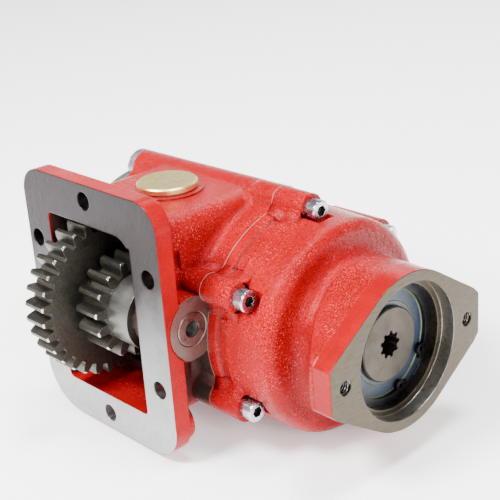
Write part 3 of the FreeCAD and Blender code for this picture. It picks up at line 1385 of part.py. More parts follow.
def build():
    pieces = [main_housing(), front_cover(), cover_gasket(), rear_cover(), rear_cover_gasket(),
              cover_screws(), rear_cover_screws(), cover_dowels(), access_plug(), plug_washer(), port_plug(),
              idler_pin(), idler_gear(), idler_needle_cage(), idler_needles(), idler_thrust_washers(),
              idler_pin_ring(), output_shaft(), sliding_gear(), front_bearing_seal(), bearing_circlip(),
              shaft_circlip(), shift_rod(), shift_piston(), piston_ring(), piston_nut_piece(), shift_fork(),
              fork_pin_piece()]
    pieces += ball_bearing("front_bearing", bearing_front_face, bearing_front_width, journal_front,
                           bearing_front_outer, front_ball, front_balls)
    pieces += ball_bearing("rear_bearing", bearing_rear_face, bearing_rear_width, journal_rear,
                           bearing_rear_outer, rear_ball, rear_balls)
    return pieces


pieces = build()
doc.recompute()
broken = [item.Label for item in doc.Objects if "Invalid" in item.State or "Error" in item.State]
broken += [piece.Label for piece in pieces if piece.Shape.isNull() or not piece.Shape.isValid()]
if broken:
    raise RuntimeError(f"These did not compute: {broken}")

os.makedirs("parts", exist_ok=True)
for piece in pieces:
    piece.Shape.exportStep(f"parts/{piece.Label}.step")
    print(piece.Label, len(piece.Shape.Solids), round(piece.Shape.Volume, 1))
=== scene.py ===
import bmesh
import bpy
import math
from mathutils import Matrix, Vector


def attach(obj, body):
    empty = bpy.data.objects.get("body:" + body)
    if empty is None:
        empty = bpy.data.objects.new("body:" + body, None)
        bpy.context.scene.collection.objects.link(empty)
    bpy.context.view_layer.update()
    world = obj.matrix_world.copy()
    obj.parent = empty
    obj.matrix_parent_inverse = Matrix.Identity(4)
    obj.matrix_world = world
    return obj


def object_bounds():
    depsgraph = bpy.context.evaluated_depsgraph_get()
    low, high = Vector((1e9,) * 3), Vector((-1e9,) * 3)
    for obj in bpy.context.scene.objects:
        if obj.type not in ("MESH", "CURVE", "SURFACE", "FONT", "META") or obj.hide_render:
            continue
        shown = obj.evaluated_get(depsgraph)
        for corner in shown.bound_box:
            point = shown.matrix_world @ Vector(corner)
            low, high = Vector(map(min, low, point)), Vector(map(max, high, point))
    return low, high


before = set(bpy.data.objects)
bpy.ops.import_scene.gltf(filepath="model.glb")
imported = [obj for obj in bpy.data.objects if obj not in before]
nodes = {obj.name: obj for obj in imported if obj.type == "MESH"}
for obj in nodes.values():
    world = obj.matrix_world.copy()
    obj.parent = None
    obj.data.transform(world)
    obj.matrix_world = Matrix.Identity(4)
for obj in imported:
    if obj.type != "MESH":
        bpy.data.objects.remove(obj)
cad_box = [list(map(float, corner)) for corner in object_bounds()]

# Places are in metres: X points out of the pump face, Y in from the aperture face, Z up

# The aperture flange, its six holes and its window, and the gear case behind it
FACE_Y = -0.0972
FLANGE_BACK_Y = -0.0862
PATTERN = (-0.15835, 0.0149)
STUD_RADIUS = 0.0056
STUD_SIDE = (0.0532, 0.034925)
STUD_END = 0.06985
STUDS = [(0.0, STUD_END), (0.0, -STUD_END)]
STUDS += [(way_x * STUD_SIDE[0], way_z * STUD_SIDE[1]) for way_x in (-1, 1) for way_z in (-1, 1)]
WINDOW_HALF = (0.0389, 0.0558)
WINDOW_DEEP_Y = -0.0480
CASE_RADIUS = 0.0600

# The parting plane, the idler pin with its boss, and the machined spot round the pin
PARTING_X = -0.0948
PIN = (-0.0773276, 0.0149)
PIN_TAP_RADIUS = 0.005
PIN_BOSS_RADIUS = 0.0205
PIN_BOSS_END_X = -0.1223
SPOT = (-0.0740276, 0.0149)
SPOT_RADIUS = 0.0203

# The cover screws and the bosses that they go through
SCREW_CIRCLE = 0.070
SCREW_ANGLES = (30.0, 90.0, 150.0, 210.0, 300.0)
SCREW_TOP = -0.063
SOCKET_RADIUS = 0.0036
BOSS_RADIUS = 0.009

# The pump face with its pilot and bore, and the cover's drum with a shallow band round it
PILOT_RADIUS = 0.0418
PILOT_WALL = 0.0013
BORE_END_X = -0.035
PUMP_BOLT_Y = 0.0532
PUMP_BOLT_RADIUS = 0.0045
EAR_BACK_X = -0.0125
DRUM_RADII = (0.0630, 0.0676)
BAND_FRONT = (-0.0808, -0.0795)
BAND_REAR = (-0.0872, -0.0859)

# The pocket in the housing below the pin, darkened with painted shade: its rear end, its depth and its two
# heights
POCKET_REAR_X = -0.118
POCKET_DEEP_Y = -0.050
POCKET_HEIGHTS = (-0.040, 0.002)

# The gears and the bearing seal
COLLAR_RADIUS = 0.0225
IDLER_TOOTH_FOOT = 0.0285
OUTPUT_TOOTH_FOOT = 0.048
SEAL_RINGS = ((0.0322, 0.0333), (0.0244, 0.0250))

# Half the depth over which a mask takes in one flat face, and the half width of one round wall
FLAT = 0.00012
ROUND = 0.0003


class Shader:
    """A material whose nodes are added by short calls. Sockets and numbers are both accepted."""

    def __init__(self, name):
        self.material = bpy.data.materials.new(name)
        self.material.use_nodes = True
        self.tree = self.material.node_tree
        self.surface = self.tree.nodes["Principled BSDF"]
        self.place = self.tree.nodes.new("ShaderNodeTexCoord").outputs["Object"]
        split = self.tree.nodes.new("ShaderNodeSeparateXYZ")
        self.join(self.place, split.inputs[0])
        self.x, self.y, self.z = split.outputs
        facing = self.tree.nodes.new("ShaderNodeNewGeometry").outputs["True Normal"]
        split = self.tree.nodes.new("ShaderNodeSeparateXYZ")
        turned = self.tree.nodes.new("ShaderNodeVectorTransform")
        turned.vector_type = "NORMAL"
        turned.convert_from = "WORLD"
        turned.convert_to = "OBJECT"
        self.join(facing, turned.inputs[0])
        self.join(turned.outputs[0], split.inputs[0])
        self.nx, self.ny = split.outputs[:2]

    def join(self, value, socket):
        """Links a socket, or sets a number, colour or vector that is the same everywhere."""
        if isinstance(value, bpy.types.NodeSocket):
            self.tree.links.new(value, socket)
        else:
            socket.default_value = value

    def math(self, operation, first, second=0.0, third=0.0):
        node = self.tree.nodes.new("ShaderNodeMath")
        node.operation = operation
        for value, socket in zip((first, second, third), node.inputs):
            self.join(value, socket)
        return node.outputs[0]

    def near(self, value, target, width):
        """1 where value is within width of target, else 0."""
        return self.math("COMPARE", value, target, width)

    def above(self, value, edge, soft=0.0001):
        """0 below the edge and 1 above it, with a soft change."""
        node = self.tree.nodes.new("ShaderNodeMapRange")
        node.clamp = True
        self.join(value, node.inputs["Value"])
        node.inputs["From Min"].default_value = edge - soft
        node.inputs["From Max"].default_value = edge + soft
        return node.outputs[0]

    def below(self, value, edge, soft=0.0001):
        """1 below the edge and 0 above it, with a soft change."""
        return self.math("SUBTRACT", 1.0, self.above(value, edge, soft))

    def radius(self, first, second, centre=(0.0, 0.0)):
        """Distance from an axis, from the two coordinates across it."""
        a = self.math("SUBTRACT", first, centre[0])
        b = self.math("SUBTRACT", second, centre[1])
        total = self.math("ADD", self.math("MULTIPLY", a, a), self.math("MULTIPLY", b, b))
        return self.math("SQRT", total)

    def both(self, *masks):
        """Where all of the masks are."""
        result = masks[0]
        for mask in masks[1:]:
            result = self.math("MULTIPLY", result, mask)
        return result

    def either(self, *masks):
        """Where any of the masks is."""
        result = masks[0]
        for mask in masks[1:]:
            result = self.math("MAXIMUM", result, mask)
        return result

    def noise(self, scale, detail, rough, place=None):
        """Noise with scale waves to the metre, at the object's own coordinates where no place is given."""
        node = self.tree.nodes.new("ShaderNodeTexNoise")
        self.join(place or self.place, node.inputs["Vector"])
        node.inputs["Scale"].default_value = scale
        node.inputs["Detail"].default_value = detail
        node.inputs["Roughness"].default_value = rough
        return node.outputs["Fac"]

    def marks(self, scales, detail=5.0, rough=0.7):
        """Noise with its own scale along X, Y and Z, long where the scale is low."""
        stretch = self.tree.nodes.new("ShaderNodeMapping")
        self.join(self.place, stretch.inputs["Vector"])
        stretch.inputs["Scale"].default_value = scales
        return self.noise(1.0, detail, rough, stretch.outputs[0])

    def remap(self, value, low, high, to_low=0.0, to_high=1.0):
        """Stretches the span from low to high to the one from to_low to to_high, and clips the rest."""
        node = self.tree.nodes.new("ShaderNodeMapRange")
        node.clamp = True
        self.join(value, node.inputs["Value"])
        ends = (("From Min", low), ("From Max", high), ("To Min", to_low), ("To Max", to_high))
        for name, number in ends:
            node.inputs[name].default_value = number
        return node.outputs[0]

    def spread(self, value, to_low=0.0, to_high=1.0):
        """Stretches the span that most of a noise's values lie in."""
        return self.remap(value, 0.3, 0.7, to_low, to_high)

    def times(self, value, share):
        return self.math("MULTIPLY", value, share)

    def blend(self, factor, first, second):
        """Mixes two colours, given as sockets or as three numbers."""
        node = self.tree.nodes.new("ShaderNodeMix")
        node.data_type = "RGBA"
        self.join(factor, node.inputs[0])
        for value, socket in ((first, node.inputs[6]), (second, node.inputs[7])):
            is_socket = isinstance(value, bpy.types.NodeSocket)
            self.join(value if is_socket else (*value, 1.0), socket)
        return node.outputs[2]

    def mix(self, factor, first, second):
        """Mixes two numbers."""
        node = self.tree.nodes.new("ShaderNodeMix")
        self.join(factor, node.inputs[0])
        self.join(first, node.inputs[2])
        self.join(second, node.inputs[3])
        return node.outputs[0]

    def crease(self, reach, low, high):
        """1 deep in a hollow corner and 0 on open surfaces, from ambient occlusion, for painted shade in the
        corners.
        """
        node = self.tree.nodes.new("ShaderNodeAmbientOcclusion")
        node.samples = 6
        node.only_local = True
        node.inputs["Distance"].default_value = reach
        return self.remap(node.outputs["AO"], low, high, 1.0, 0.0)

    def bump(self, height, distance, round_edges=0.0):
        """Height of the surface in units of distance, over edges that look rounded by round_edges."""
        node = self.tree.nodes.new("ShaderNodeBump")
        self.join(height, node.inputs["Height"])
        node.inputs["Distance"].default_value = distance
        node.inputs["Strength"].default_value = 1.0
        if round_edges:
            bevel = self.tree.nodes.new("ShaderNodeBevel")
            bevel.samples = 6
            bevel.inputs["Radius"].default_value = round_edges
            self.join(bevel.outputs[0], node.inputs["Normal"])
        self.join(node.outputs[0], self.surface.inputs["Normal"])

    def set(self, **values):
        """Sets inputs of the surface by name, with _ for a space, from sockets, numbers or colours."""
        for name, value in values.items():
            socket = self.surface.inputs[name.replace("_", " ")]
            if isinstance(value, tuple) and len(value) == 3:
                value = (*value, 1.0)
            self.join(value, socket)


def painted_casting(name, machined, dressed, painted_shade):
    """Glossy red paint over sand-cast iron.

    machined() says where the metal is bare, dressed() where the casting was fettled smooth before it
    was painted, and the last mask where the paint is darkened as painted shade. Painted highlights lighten
    it in glints, and painted shade darkens it in the pits of the grain and in hollow corners.
    """
    deep, light, hollow = (0.205, 0.0005, 0.0022), (0.315, 0.0009, 0.0036), (0.14, 0.0004, 0.0016)
    glint, crease_shade = (0.60, 0.085, 0.085), (0.085, 0.0008, 0.0016)
    shade_colour_light, shade_colour_dark = (0.040, 0.022, 0.020), (0.018, 0.011, 0.010)
    s = Shader(name)
    grain = s.noise(1150.0, 2.0, 0.6)
    lumps = s.noise(330.0, 3.0, 0.6)
    waves = s.noise(38.0, 2.0, 0.5)
    tone = s.noise(24.0, 4.0, 0.6)
    rough = s.math("SUBTRACT", 1.0, s.times(dressed(s), 0.7))
    red = s.blend(s.remap(tone, 0.35, 0.7), deep, light)
    # Painted shade: the paint is darkened to the hollow colour in the pits of the grain.
    red = s.blend(s.math("MULTIPLY", rough, s.remap(grain, 0.36, 0.48, 1.0, 0.0)), red, hollow)
    # Painted highlights: lighter specks of the glint colour in patches, where the paint would catch the
    # light.
    patches = s.remap(s.noise(60.0, 3.0, 0.6), 0.42, 0.62, 0.04, 0.62)
    glints = s.math("MULTIPLY", s.remap(grain, 0.58, 0.66), patches)
    red = s.blend(s.math("MULTIPLY", rough, glints), red, glint)
    # Painted shade: a dark iron brown where the last mask says, in deep pockets and along hollow edges.
    red = s.blend(painted_shade(s, tone), red, s.blend(grain, shade_colour_light, shade_colour_dark))
    # Painted shade: the paint is darkened in hollow corners found by ambient occlusion.
    red = s.blend(s.crease(0.007, 0.30, 0.86), red, crease_shade)
    bare, bare_colour, bare_rough, bare_height = machined(s)
    s.set(Base_Color=s.blend(bare, red, bare_colour), Metallic=bare)
    s.set(Roughness=s.mix(bare, s.spread(lumps, 0.12, 0.24), bare_rough))
    s.set(Specular_Tint=s.blend(bare, (1.0, 0.30, 0.31), (1.0, 1.0, 1.0)), Specular_IOR_Level=0.21)
    height = s.math("ADD", s.times(grain, 0.26), s.times(lumps, 0.42))
    height = s.math("ADD", s.math("MULTIPLY", height, rough), s.times(waves, 0.7))
    s.bump(s.mix(bare, height, bare_height), 0.0011, 0.0012)
    return s.material


def shaded(colour, share):
    """The same colour, darker."""
    return tuple(share * part for part in colour)


def ground_metal(s, tint, stretch):
    """Colour, roughness and height of a ground or milled face whose marks run one way."""
    marks = s.marks(stretch)
    stains = s.noise(30.0, 4.0, 0.65)
    colour = s.blend(s.spread(marks), shaded(tint, 0.62), tint)
    colour = s.blend(s.remap(stains, 0.52, 0.78, 0.0, 0.55), colour, shaded(tint, 0.5))
    return colour, s.spread(marks, 0.26, 0.5), s.times(marks, 0.05)


def housing_machined(s):
    """The aperture face, with a painted reflection that leaves it brighter towards its foot, the walls of
    its holes and the face round the pin.
    """
    face = s.both(s.near(s.y, FACE_Y, FLAT), s.below(s.ny, -0.9, 0.02))
    walls = []
    for across, up in STUDS:
        place = (PATTERN[0] + across, PATTERN[1] + up)
        walls.append(s.near(s.radius(s.x, s.z, place), STUD_RADIUS, ROUND))
    holes = s.both(s.either(*walls), s.below(s.y, FLANGE_BACK_Y + 0.0012))
    spot = s.both(s.below(s.radius(s.y, s.z, SPOT), SPOT_RADIUS), s.above(s.x, PARTING_X - 0.0004))
    bare = s.either(face, holes, spot)
    steel, rough, height = ground_metal(s, (0.40, 0.40, 0.395), (900.0, 60.0, 160.0))
    # Painted reflection: the face darkens towards its top, as if it mirrored less of the bright floor there.
    reflection_fade = s.math("ADD", s.z, s.times(s.noise(40.0, 4.0, 0.6), 0.05))
    steel = s.blend(s.remap(reflection_fade, -0.02, 0.07), steel, (0.026, 0.021, 0.022))
    brown = ground_metal(s, (0.25, 0.20, 0.175), (200.0, 700.0, 700.0))[0]
    return bare, s.blend(spot, steel, brown), rough, height


def housing_dressed(s):
    """The edge of the aperture flange."""
    return s.below(s.y, FLANGE_BACK_Y + 0.0004, 0.0004)


def housing_painted_shade(s, tone):
    """Painted shade in the pocket below the pin, where light hardly reaches, inside the case and the window,
    and at the pin boss's end.
    """
    height = s.math("ADD", s.z, s.times(s.math("SUBTRACT", tone, 0.5), 0.012))
    pocket = s.both(s.above(s.x, POCKET_REAR_X, 0.002), s.below(s.x, PARTING_X - 0.0003, 0.0003),
                    s.above(s.y, FLANGE_BACK_Y - 0.0002, 0.0003), s.below(s.y, POCKET_DEEP_Y, 0.004),
                    s.above(height, POCKET_HEIGHTS[0], 0.004), s.below(height, POCKET_HEIGHTS[1], 0.002))
    inside_y = FACE_Y + 0.0012
    case = s.both(s.above(s.y, inside_y), s.below(s.radius(s.y, s.z), CASE_RADIUS, 0.0005))
    window = s.both(s.near(s.x, PATTERN[0], WINDOW_HALF[0]), s.near(s.z, PATTERN[1], WINDOW_HALF[1]),
                    s.above(s.y, inside_y, 0.0008), s.below(s.y, WINDOW_DEEP_Y, 0.0008))
    boss_end = s.both(s.near(s.x, PIN_BOSS_END_X, 0.0042), s.below(s.radius(s.y, s.z, PIN), PIN_BOSS_RADIUS))
    return s.either(pocket, case, window, boss_end)


def cover_dressed(s):
    """The edge of the pump flange."""
    return s.above(s.x, EAR_BACK_X - 0.0003, 0.0006)


def cover_painted_shade(s, tone):
    """Painted shade along both edges of the shallow band in the drum."""
    place = s.math("ADD", s.x, s.times(s.math("SUBTRACT", tone, 0.5), 0.0016))
    edges = [s.both(s.above(place, rear, 0.0004), s.below(place, front, 0.0005))
             for rear, front in (BAND_FRONT, BAND_REAR)]
    axis = s.radius(s.y, s.z)
    on_drum = s.both(s.above(axis, DRUM_RADII[0]), s.below(axis, DRUM_RADII[1]))
    return s.both(s.either(*edges), on_drum, 0.48)


def cover_machined(s):
    """The pump face, its two tapped holes, the pilot wall with a painted highlight, and the bore with
    painted shade where it is deep.
    """
    axis = s.radius(s.y, s.z)
    face = s.both(s.near(s.x, 0.0, FLAT), s.above(s.nx, 0.9, 0.02))
    bore = s.both(s.below(axis, PILOT_RADIUS), s.above(s.x, BORE_END_X))
    walls = [s.near(s.radius(s.y, s.z, (way * PUMP_BOLT_Y, 0.0)), PUMP_BOLT_RADIUS, 0.0004)
             for way in (1, -1)]
    bare = s.either(face, bore, s.both(s.either(*walls), s.above(s.x, EAR_BACK_X)))
    turned = s.marks((300.0, 110.0, 700.0), 4.0)
    stains = s.noise(26.0, 4.0, 0.65)
    colour = s.blend(s.spread(turned), (0.050, 0.040, 0.027), (0.086, 0.071, 0.051))
    colour = s.blend(s.remap(stains, 0.5, 0.8, 0.0, 0.6), colour, (0.055, 0.044, 0.034))
    # Painted highlight: the pilot wall is given a much brighter colour than the face.
    pilot = s.both(s.below(axis, PILOT_RADIUS), s.above(axis, PILOT_RADIUS - PILOT_WALL),
                   s.below(s.nx, 0.5, 0.05))
    colour = s.blend(pilot, colour, s.blend(turned, (0.20, 0.188, 0.165), (0.42, 0.40, 0.37)))
    # Painted shade: the bore is darkened where it is deep.
    deep = s.remap(s.x, -0.0165, -0.009, 1.0, 0.0)
    colour = s.blend(s.both(bore, deep), colour, (0.06, 0.055, 0.048))
    return bare, colour, s.spread(turned, 0.24, 0.42), s.times(turned, 0.05)


def plain_metal(name, tint, low, high, stretch=(240.0, 240.0, 240.0), bump=0.00012):
    """Bare metal with marks along its stretch, whose roughness goes from low to high."""
    s = Shader(name)
    marks = s.marks(stretch, 5.0, 0.65)
    stains = s.noise(60.0, 4.0, 0.6)
    colour = s.blend(s.spread(marks), shaded(tint, 0.6), tint)
    colour = s.blend(s.remap(stains, 0.5, 0.8, 0.0, 0.35), colour, shaded(tint, 0.45))
    s.set(Base_Color=colour, Metallic=1.0, Roughness=s.remap(marks, 0.25, 0.75, low, high))
    s.bump(marks, bump, 0.0003)
    return s.material


def gear_material(name, axis, tooth_foot):
    """Dark oiled gear steel, bright on the ground collar, with a painted highlight where the ends of the
    teeth are bevelled.
    """
    s = Shader(name)
    marks = s.marks((90.0, 900.0, 900.0))
    stains = s.noise(70.0, 5.0, 0.6)
    film = s.noise(28.0, 3.0, 0.5)
    colour = s.blend(s.spread(marks), (0.040, 0.037, 0.030), (0.11, 0.103, 0.085))
    colour = s.blend(s.remap(stains, 0.45, 0.72, 0.0, 0.7), colour, (0.022, 0.019, 0.014))
    colour = s.blend(s.remap(film, 0.5, 0.75, 0.0, 0.5), colour, (0.13, 0.125, 0.105))
    distance = s.radius(s.y, s.z, axis)
    tilt = s.math("ABSOLUTE", s.nx)
    # Painted highlight: the bevelled ends of the teeth are given a bright colour.
    bevel = s.both(s.above(tilt, 0.45, 0.05), s.below(tilt, 0.93, 0.03), s.above(distance, tooth_foot))
    colour = s.blend(bevel, colour, (0.52, 0.51, 0.48))
    collar = s.both(s.near(distance, COLLAR_RADIUS, 0.0005), s.below(tilt, 0.5, 0.1))
    colour = s.blend(collar, colour, s.blend(marks, (0.085, 0.082, 0.075), (0.19, 0.186, 0.175)))
    s.set(Base_Color=colour, Metallic=0.92)
    s.set(Roughness=s.mix(bevel, s.spread(stains, 0.26, 0.46), 0.22))
    s.bump(s.math("ADD", marks, s.times(stains, 0.6)), 0.00012, 0.00035)
    return s.material


def shaft_material(name):
    """Turned steel with fine rings round the X axis, 0.7 mm apart."""
    s = Shader(name)
    rings = s.math("SINE", s.times(s.radius(s.y, s.z), 9000.0))
    stains = s.noise(90.0, 4.0, 0.6)
    colour = s.blend(s.remap(rings, -1.0, 1.0), (0.058, 0.049, 0.038), (0.088, 0.076, 0.062))
    colour = s.blend(s.remap(stains, 0.45, 0.75, 0.0, 0.7), colour, (0.045, 0.038, 0.030))
    s.set(Base_Color=colour, Metallic=0.95, Roughness=s.spread(stains, 0.3, 0.5))
    s.bump(rings, 0.00003, 0.0003)
    return s.material


def seal_material(name):
    """Dark blue oiled rubber with yellow-green rings."""
    s = Shader(name)
    distance = s.radius(s.y, s.z)
    grain = s.noise(500.0, 4.0, 0.6)
    wet = s.noise(55.0, 3.0, 0.6)
    colour = s.blend(s.spread(grain), (0.005, 0.013, 0.028), (0.011, 0.026, 0.052))
    rings = [s.both(s.above(distance, low, 0.0002), s.below(distance, high, 0.0002))
             for low, high in SEAL_RINGS]
    colour = s.blend(s.times(s.either(*rings), 0.75), colour, (0.10, 0.115, 0.022))
    colour = s.blend(s.remap(wet, 0.5, 0.7, 0.0, 0.7), colour, (0.018, 0.016, 0.010))
    s.set(Base_Color=colour, Roughness=s.spread(wet, 0.24, 0.5))
    s.bump(grain, 0.00015, 0.0003)
    return s.material


def rubber_material(name, dark, light):
    """Dull rubber or gasket fibre with a fine grain."""
    s = Shader(name)
    grain = s.noise(420.0, 4.0, 0.6)
    s.set(Base_Color=s.blend(s.spread(grain), dark, light), Roughness=s.spread(grain, 0.5, 0.75))
    s.bump(grain, 0.0002)
    return s.material


def zinc_material(name):
    """Bright zinc plating with a faint blue and violet tint, and painted shade deep in the sockets."""
    s = Shader(name)
    cloud = s.noise(130.0, 3.0, 0.55)
    marks = s.marks((500.0, 900.0, 900.0), 4.0)
    colour = s.blend(s.remap(cloud, 0.38, 0.62), (0.42, 0.46, 0.56), (0.52, 0.47, 0.54))
    colour = s.blend(s.spread(marks, 0.0, 0.5), colour, (0.56, 0.56, 0.55))
    # Painted shade: the inside of each socket below the head's top is darkened.
    for degrees in SCREW_ANGLES:
        angle = math.radians(degrees)
        place = (SCREW_CIRCLE * math.cos(angle), SCREW_CIRCLE * math.sin(angle))
        socket = s.both(s.below(s.radius(s.y, s.z, place), SOCKET_RADIUS, 0.0002),
                        s.below(s.x, SCREW_TOP - 0.0006, 0.0003), s.above(s.x, PARTING_X))
        colour = s.blend(socket, colour, (0.075, 0.07, 0.065))
    s.set(Base_Color=colour, Metallic=1.0, Roughness=s.remap(marks, 0.25, 0.75, 0.14, 0.32))
    s.bump(marks, 0.00008, 0.0005)
    return s.material


def brass_material(name):
    """Yellow brass with turning marks and a few dull stains."""
    s = Shader(name)
    marks = s.marks((260.0, 260.0, 900.0))
    stains = s.noise(75.0, 4.0, 0.6)
    colour = s.blend(s.spread(marks), (0.76, 0.58, 0.19), (0.93, 0.77, 0.33))
    colour = s.blend(s.remap(stains, 0.5, 0.75, 0.0, 0.5), colour, (0.45, 0.33, 0.10))
    s.set(Base_Color=colour, Metallic=1.0, Roughness=s.spread(stains, 0.24, 0.42))
    s.bump(marks, 0.00012, 0.0004)
    return s.material


def dress(names, material):
    """Gives CAD nodes a material in place of the plain one."""
    for name in names:
        item = nodes[name]
        if not item.material_slots:
            item.data.materials.append(material)
        for slot in item.material_slots:
            slot.link = "OBJECT"
            slot.material = material


red_housing = painted_casting("red_housing", housing_machined, housing_dressed, housing_painted_shade)
red_cover = painted_casting("red_cover", cover_machined, cover_dressed, cover_painted_shade)
dress(["main_housing"], red_housing)
dress(["front_cover"], red_cover)
dress(["rear_cover"], plain_metal("cast_aluminium", (0.46, 0.465, 0.47), 0.28, 0.5, (300.0, 60.0, 300.0)))
dress(["cover_screws", "rear_cover_screws", "port_plug", "piston_nut"], zinc_material("zinc_steel"))
dress(["access_plug"], brass_material("brass"))
dress(["idler_gear"], gear_material("oiled_idler_gear", PIN, IDLER_TOOTH_FOOT))
dress(["sliding_gear"], gear_material("oiled_output_gear", (0.0, 0.0), OUTPUT_TOOTH_FOOT))
dress(["shift_fork"], plain_metal("forged_steel", (0.13, 0.12, 0.10), 0.35, 0.6))
dress(["output_shaft"], shaft_material("turned_steel"))
dress(["idler_pin"], plain_metal("pin_steel", (0.24, 0.215, 0.19), 0.22, 0.42, (500.0, 200.0, 200.0)))
dress(["idler_thrust_washers", "shift_rod", "idler_needle_cage", "front_bearing_cage", "rear_bearing_cage"],
      plain_metal("ground_steel", (0.34, 0.335, 0.32), 0.2, 0.4))
dress(["cover_dowels", "idler_needles", "front_bearing_outer", "front_bearing_inner", "front_bearing_balls",
       "rear_bearing_outer", "rear_bearing_inner", "rear_bearing_balls", "fork_pin"],
      plain_metal("bearing_steel", (0.38, 0.38, 0.38), 0.12, 0.28, (700.0, 700.0, 700.0), 0.00005))
dress(["front_bearing_seal"], seal_material("seal_rubber"))
dress(["bearing_circlip", "shaft_circlip"], plain_metal("black_steel", (0.035, 0.035, 0.038), 0.24, 0.42))
dress(["cover_gasket", "rear_cover_gasket", "plug_washer"],
      rubber_material("gasket_fibre", (0.10, 0.085, 0.07), (0.17, 0.15, 0.12)))
dress(["idler_pin_ring", "piston_ring"],
      rubber_material("black_rubber", (0.012, 0.012, 0.012), (0.03, 0.03, 0.03)))
dress(["shift_piston"], plain_metal("piston_aluminium", (0.42, 0.425, 0.43), 0.3, 0.5))


def add_piece(name, points, faces, material, smooth):
    """A mesh object, smooth on the faces for which smooth() is true."""
    mesh = bpy.data.meshes.new(name)
    mesh.from_pydata(points, [], faces)
    mesh.materials.append(material)
    for face in mesh.polygons:
        face.use_smooth = smooth(face)
    item = bpy.data.objects.new(name, mesh)
    bpy.context.scene.collection.objects.link(item)
    return item


# Hollow fillets between the screw bosses and the round castings

def fillet_outline(angle, side, body_radius, hollow):
    """Section of the fillet on one side of a boss, in Y and Z.

    Its points go from the round body to the boss, and the last one is buried in the casting.
    """
    steps, overlap = 8, 0.00004
    to_round_body, inward = 0.35, 0.96
    reach, spread = body_radius + hollow, BOSS_RADIUS + hollow
    turn = math.acos((SCREW_CIRCLE ** 2 + reach ** 2 - spread ** 2) / (2.0 * SCREW_CIRCLE * reach))
    boss = Vector((math.cos(angle), math.sin(angle))) * SCREW_CIRCLE
    centre = Vector((math.cos(angle + side * turn), math.sin(angle + side * turn))) * reach
    start = -centre.normalized()
    end = (boss - centre).normalized()
    points = []
    for step in range(steps + 1):
        way = start.slerp(end, step / steps) if step else start
        points.append(centre + way * (hollow + overlap))
    buried = (boss + (points[0] - boss) * to_round_body) * inward
    return [tuple(point) for point in points] + [tuple(buried)]


def boss_fillets(name, material, sides, stations):
    """Closed strips along X. A station is a place along X, the round body's radius and the hollow's."""
    points, faces = [], []
    for degrees, side in sides:
        first = len(points)
        for x, body_radius, hollow in stations:
            section = fillet_outline(math.radians(degrees), side, body_radius, hollow)
            points += [(x, y, z) for y, z in section]
        count = len(section)
        for row in range(len(stations) - 1):
            for index in range(count):
                low, high = first + row * count, first + (row + 1) * count
                turn = (index + 1) % count
                faces.append((low + index, low + turn, high + turn, high + index))
        faces.append(tuple(first + index for index in range(count)))
        last = first + (len(stations) - 1) * count
        faces.append(tuple(last + index for index in reversed(range(count))))
    item = add_piece(name, points, faces, material, lambda face: len(face.vertices) == 4)
    fix = bmesh.new()
    fix.from_mesh(item.data)
    bmesh.ops.recalc_face_normals(fix, faces=fix.faces)
    fix.to_mesh(item.data)
    fix.free()
    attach(item, "housing")


both_sides = [(angle, side) for angle in SCREW_ANGLES for side in (-1, 1)]
covered_by_castings = ((90.0, -1), (90.0, 1), (150.0, 1))
boss_fillets("cover_boss_fillets", red_cover, both_sides,
             [(-0.0943, 0.0673, 0.008), (-0.0875, 0.0671, 0.008), (-0.0858, 0.0653, 0.0085),
              (-0.0815, 0.0653, 0.0085), (-0.0795, 0.0668, 0.008), (-0.0710, 0.0665, 0.007)])
boss_fillets("housing_boss_fillets", red_housing,
             [place for place in both_sides if place not in covered_by_castings],
             [(-0.1175, 0.0669, 0.0012), (-0.1150, 0.06695, 0.004),
              (-0.1118, 0.0670, 0.007), (PARTING_X, 0.0673, 0.007)])


# Threads of the tapped holes

def thread(name, body, centre, start, depth, radius, pitch, material):
    """A helical ridge on the wall of a hole that runs back along X from start.

    The ridge's height, its half width and its distance from start are shares of the pitch.
    """
    steps, buried = 36, 0.00005
    height, half_width, inset = 0.5, 0.42, 0.6
    foot, crest = radius + buried, radius - height * pitch
    points, faces = [], []
    for index in range(int(depth / pitch * steps) + 1):
        angle = 2.0 * math.pi * index / steps
        x = start - inset * pitch - pitch * index / steps
        for shift, reach in ((half_width, foot), (0.0, crest), (-half_width, foot)):
            y, z = centre[0] + reach * math.cos(angle), centre[1] + reach * math.sin(angle)
            points.append((x + shift * pitch, y, z))
        if index:
            low, high = 3 * index - 3, 3 * index
            for corner in range(3):
                turn = (corner + 1) % 3
                faces.append((low + corner, high + corner, high + turn, low + turn))
    faces += [(0, 1, 2), (len(points) - 1, len(points) - 2, len(points) - 3)]
    item = add_piece(name, points, faces, material, lambda face: True)
    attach(item, body)


cut_thread = plain_metal("cut_thread", (0.30, 0.29, 0.27), 0.18, 0.34)
oiled_thread = plain_metal("oiled_thread", (0.11, 0.105, 0.095), 0.24, 0.42)
for way, side in ((-1, "near"), (1, "far")):
    thread(f"pump_bolt_thread_{side}", "housing", (PUMP_BOLT_Y * way, 0.0),
           0.0, 0.0095, PUMP_BOLT_RADIUS, 0.0015, cut_thread)
thread("pin_thread", "housing", PIN, PARTING_X, 0.012, PIN_TAP_RADIUS, 0.00125, oiled_thread)


# Floor, light and camera

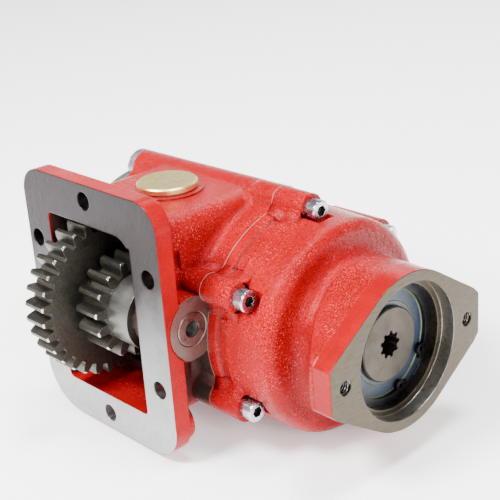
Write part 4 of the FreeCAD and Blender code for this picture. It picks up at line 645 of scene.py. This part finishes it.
def make_stage():
    """A round pale floor whose far edge curves up into a wall, so that no low view ends at a horizon."""
    lowest = cad_box[0][2]
    flat, bend, height, parts, rows = 4.0, 2.0, 3.0, 48, 8
    profile = []
    for row in range(rows + 1):
        angle = 0.5 * math.pi * row / rows
        profile.append((flat + bend * math.sin(angle), bend - bend * math.cos(angle)))
    profile.append((flat + bend, height))
    points = [(0.0, 0.0, lowest)]
    for reach, rise in profile:
        for part in range(parts):
            angle = 2.0 * math.pi * part / parts
            points.append((reach * math.cos(angle), reach * math.sin(angle), lowest + rise))
    faces = [(0, 1 + part, 1 + (part + 1) % parts) for part in range(parts)]
    for row in range(len(profile) - 1):
        for part in range(parts):
            low, turn = 1 + row * parts, (part + 1) % parts
            faces.append((low + part, low + parts + part, low + parts + turn, low + turn))
    s = Shader("pale_floor")
    soft = s.noise(3.0, 2.0, 0.5)
    s.set(Base_Color=s.blend(soft, (0.93, 0.93, 0.93), (0.96, 0.96, 0.96)), Roughness=0.8)
    # Painted shadow: the floor glows less under the part, so that it looks shadowed there.
    middle, reach = (-0.16, 0.06), (0.20, 0.17)
    across = s.math("DIVIDE", s.math("ADD", s.x, -middle[0]), reach[0])
    along = s.math("DIVIDE", s.math("SUBTRACT", s.y, middle[1]), reach[1])
    shadow_under_part = s.remap(s.radius(across, along), 0.6, 1.35, 0.30, 1.45)
    up_the_wall = s.remap(s.z, lowest, lowest + 0.9, 1.0, 0.18)
    s.set(Emission_Color=(1.0, 1.0, 1.0), Emission_Strength=s.math("MULTIPLY", shadow_under_part, up_the_wall))
    floor = add_piece("floor", points, faces, s.material, lambda face: True)


def add_light(name, place, size, power):
    """A square soft box in metres and watts, turned to the middle of the part."""
    middle = Vector((-0.12, -0.02, 0.0))
    lamp = bpy.data.lights.new(name, "AREA")
    lamp.shape = "RECTANGLE"
    lamp.size = size
    lamp.size_y = size
    lamp.energy = power
    item = bpy.data.objects.new(name, lamp)
    bpy.context.scene.collection.objects.link(item)
    item.location = place
    item.rotation_mode = "QUATERNION"
    item.rotation_quaternion = (middle - Vector(place)).to_track_quat("-Z", "Y")


def make_light():
    """Four soft boxes in a dim white room."""
    world = bpy.data.worlds.new("studio")
    world.use_nodes = True
    background = world.node_tree.nodes["Background"]
    background.inputs["Color"].default_value = (1.0, 1.0, 1.0, 1.0)
    background.inputs["Strength"].default_value = 0.25
    bpy.context.scene.world = world
    add_light("key", (-0.35, -1.0, 1.25), 0.42, 78.0)
    add_light("side", (1.2, -0.55, 0.75), 0.4, 20.0)
    add_light("back", (-0.6, 1.2, 1.1), 0.8, 15.0)
    add_light("top", (0.15, 0.1, 1.5), 0.4, 40.0)


def make_camera():
    """The photograph's camera: its place, the angles it looks at, and its focal length in pixels."""
    place = (0.3700, -0.4493, 0.3059)
    azimuth, elevation, roll = math.radians(47.85), math.radians(22.40), math.radians(-4.19)
    focal_pixels, picture_pixels, sensor = 1158.7, 500.0, 36.0
    forward = Vector((-math.sin(azimuth) * math.cos(elevation), math.cos(azimuth) * math.cos(elevation),
                      -math.sin(elevation)))
    right = forward.cross(Vector((0, 0, 1))).normalized()
    down = forward.cross(right)
    across = right * math.cos(roll) - down * math.sin(roll)
    below = right * math.sin(roll) + down * math.cos(roll)
    data = bpy.data.cameras.new("camera")
    data.sensor_width = sensor
    data.lens = sensor * focal_pixels / picture_pixels
    data.clip_start = 0.01
    data.clip_end = 50.0
    item = bpy.data.objects.new("camera", data)
    bpy.context.scene.collection.objects.link(item)
    turned = Matrix((across, -below, -forward)).transposed()
    item.matrix_world = Matrix.Translation(place) @ turned.to_4x4()
    bpy.context.scene.camera = item


make_stage()
make_light()
make_camera()
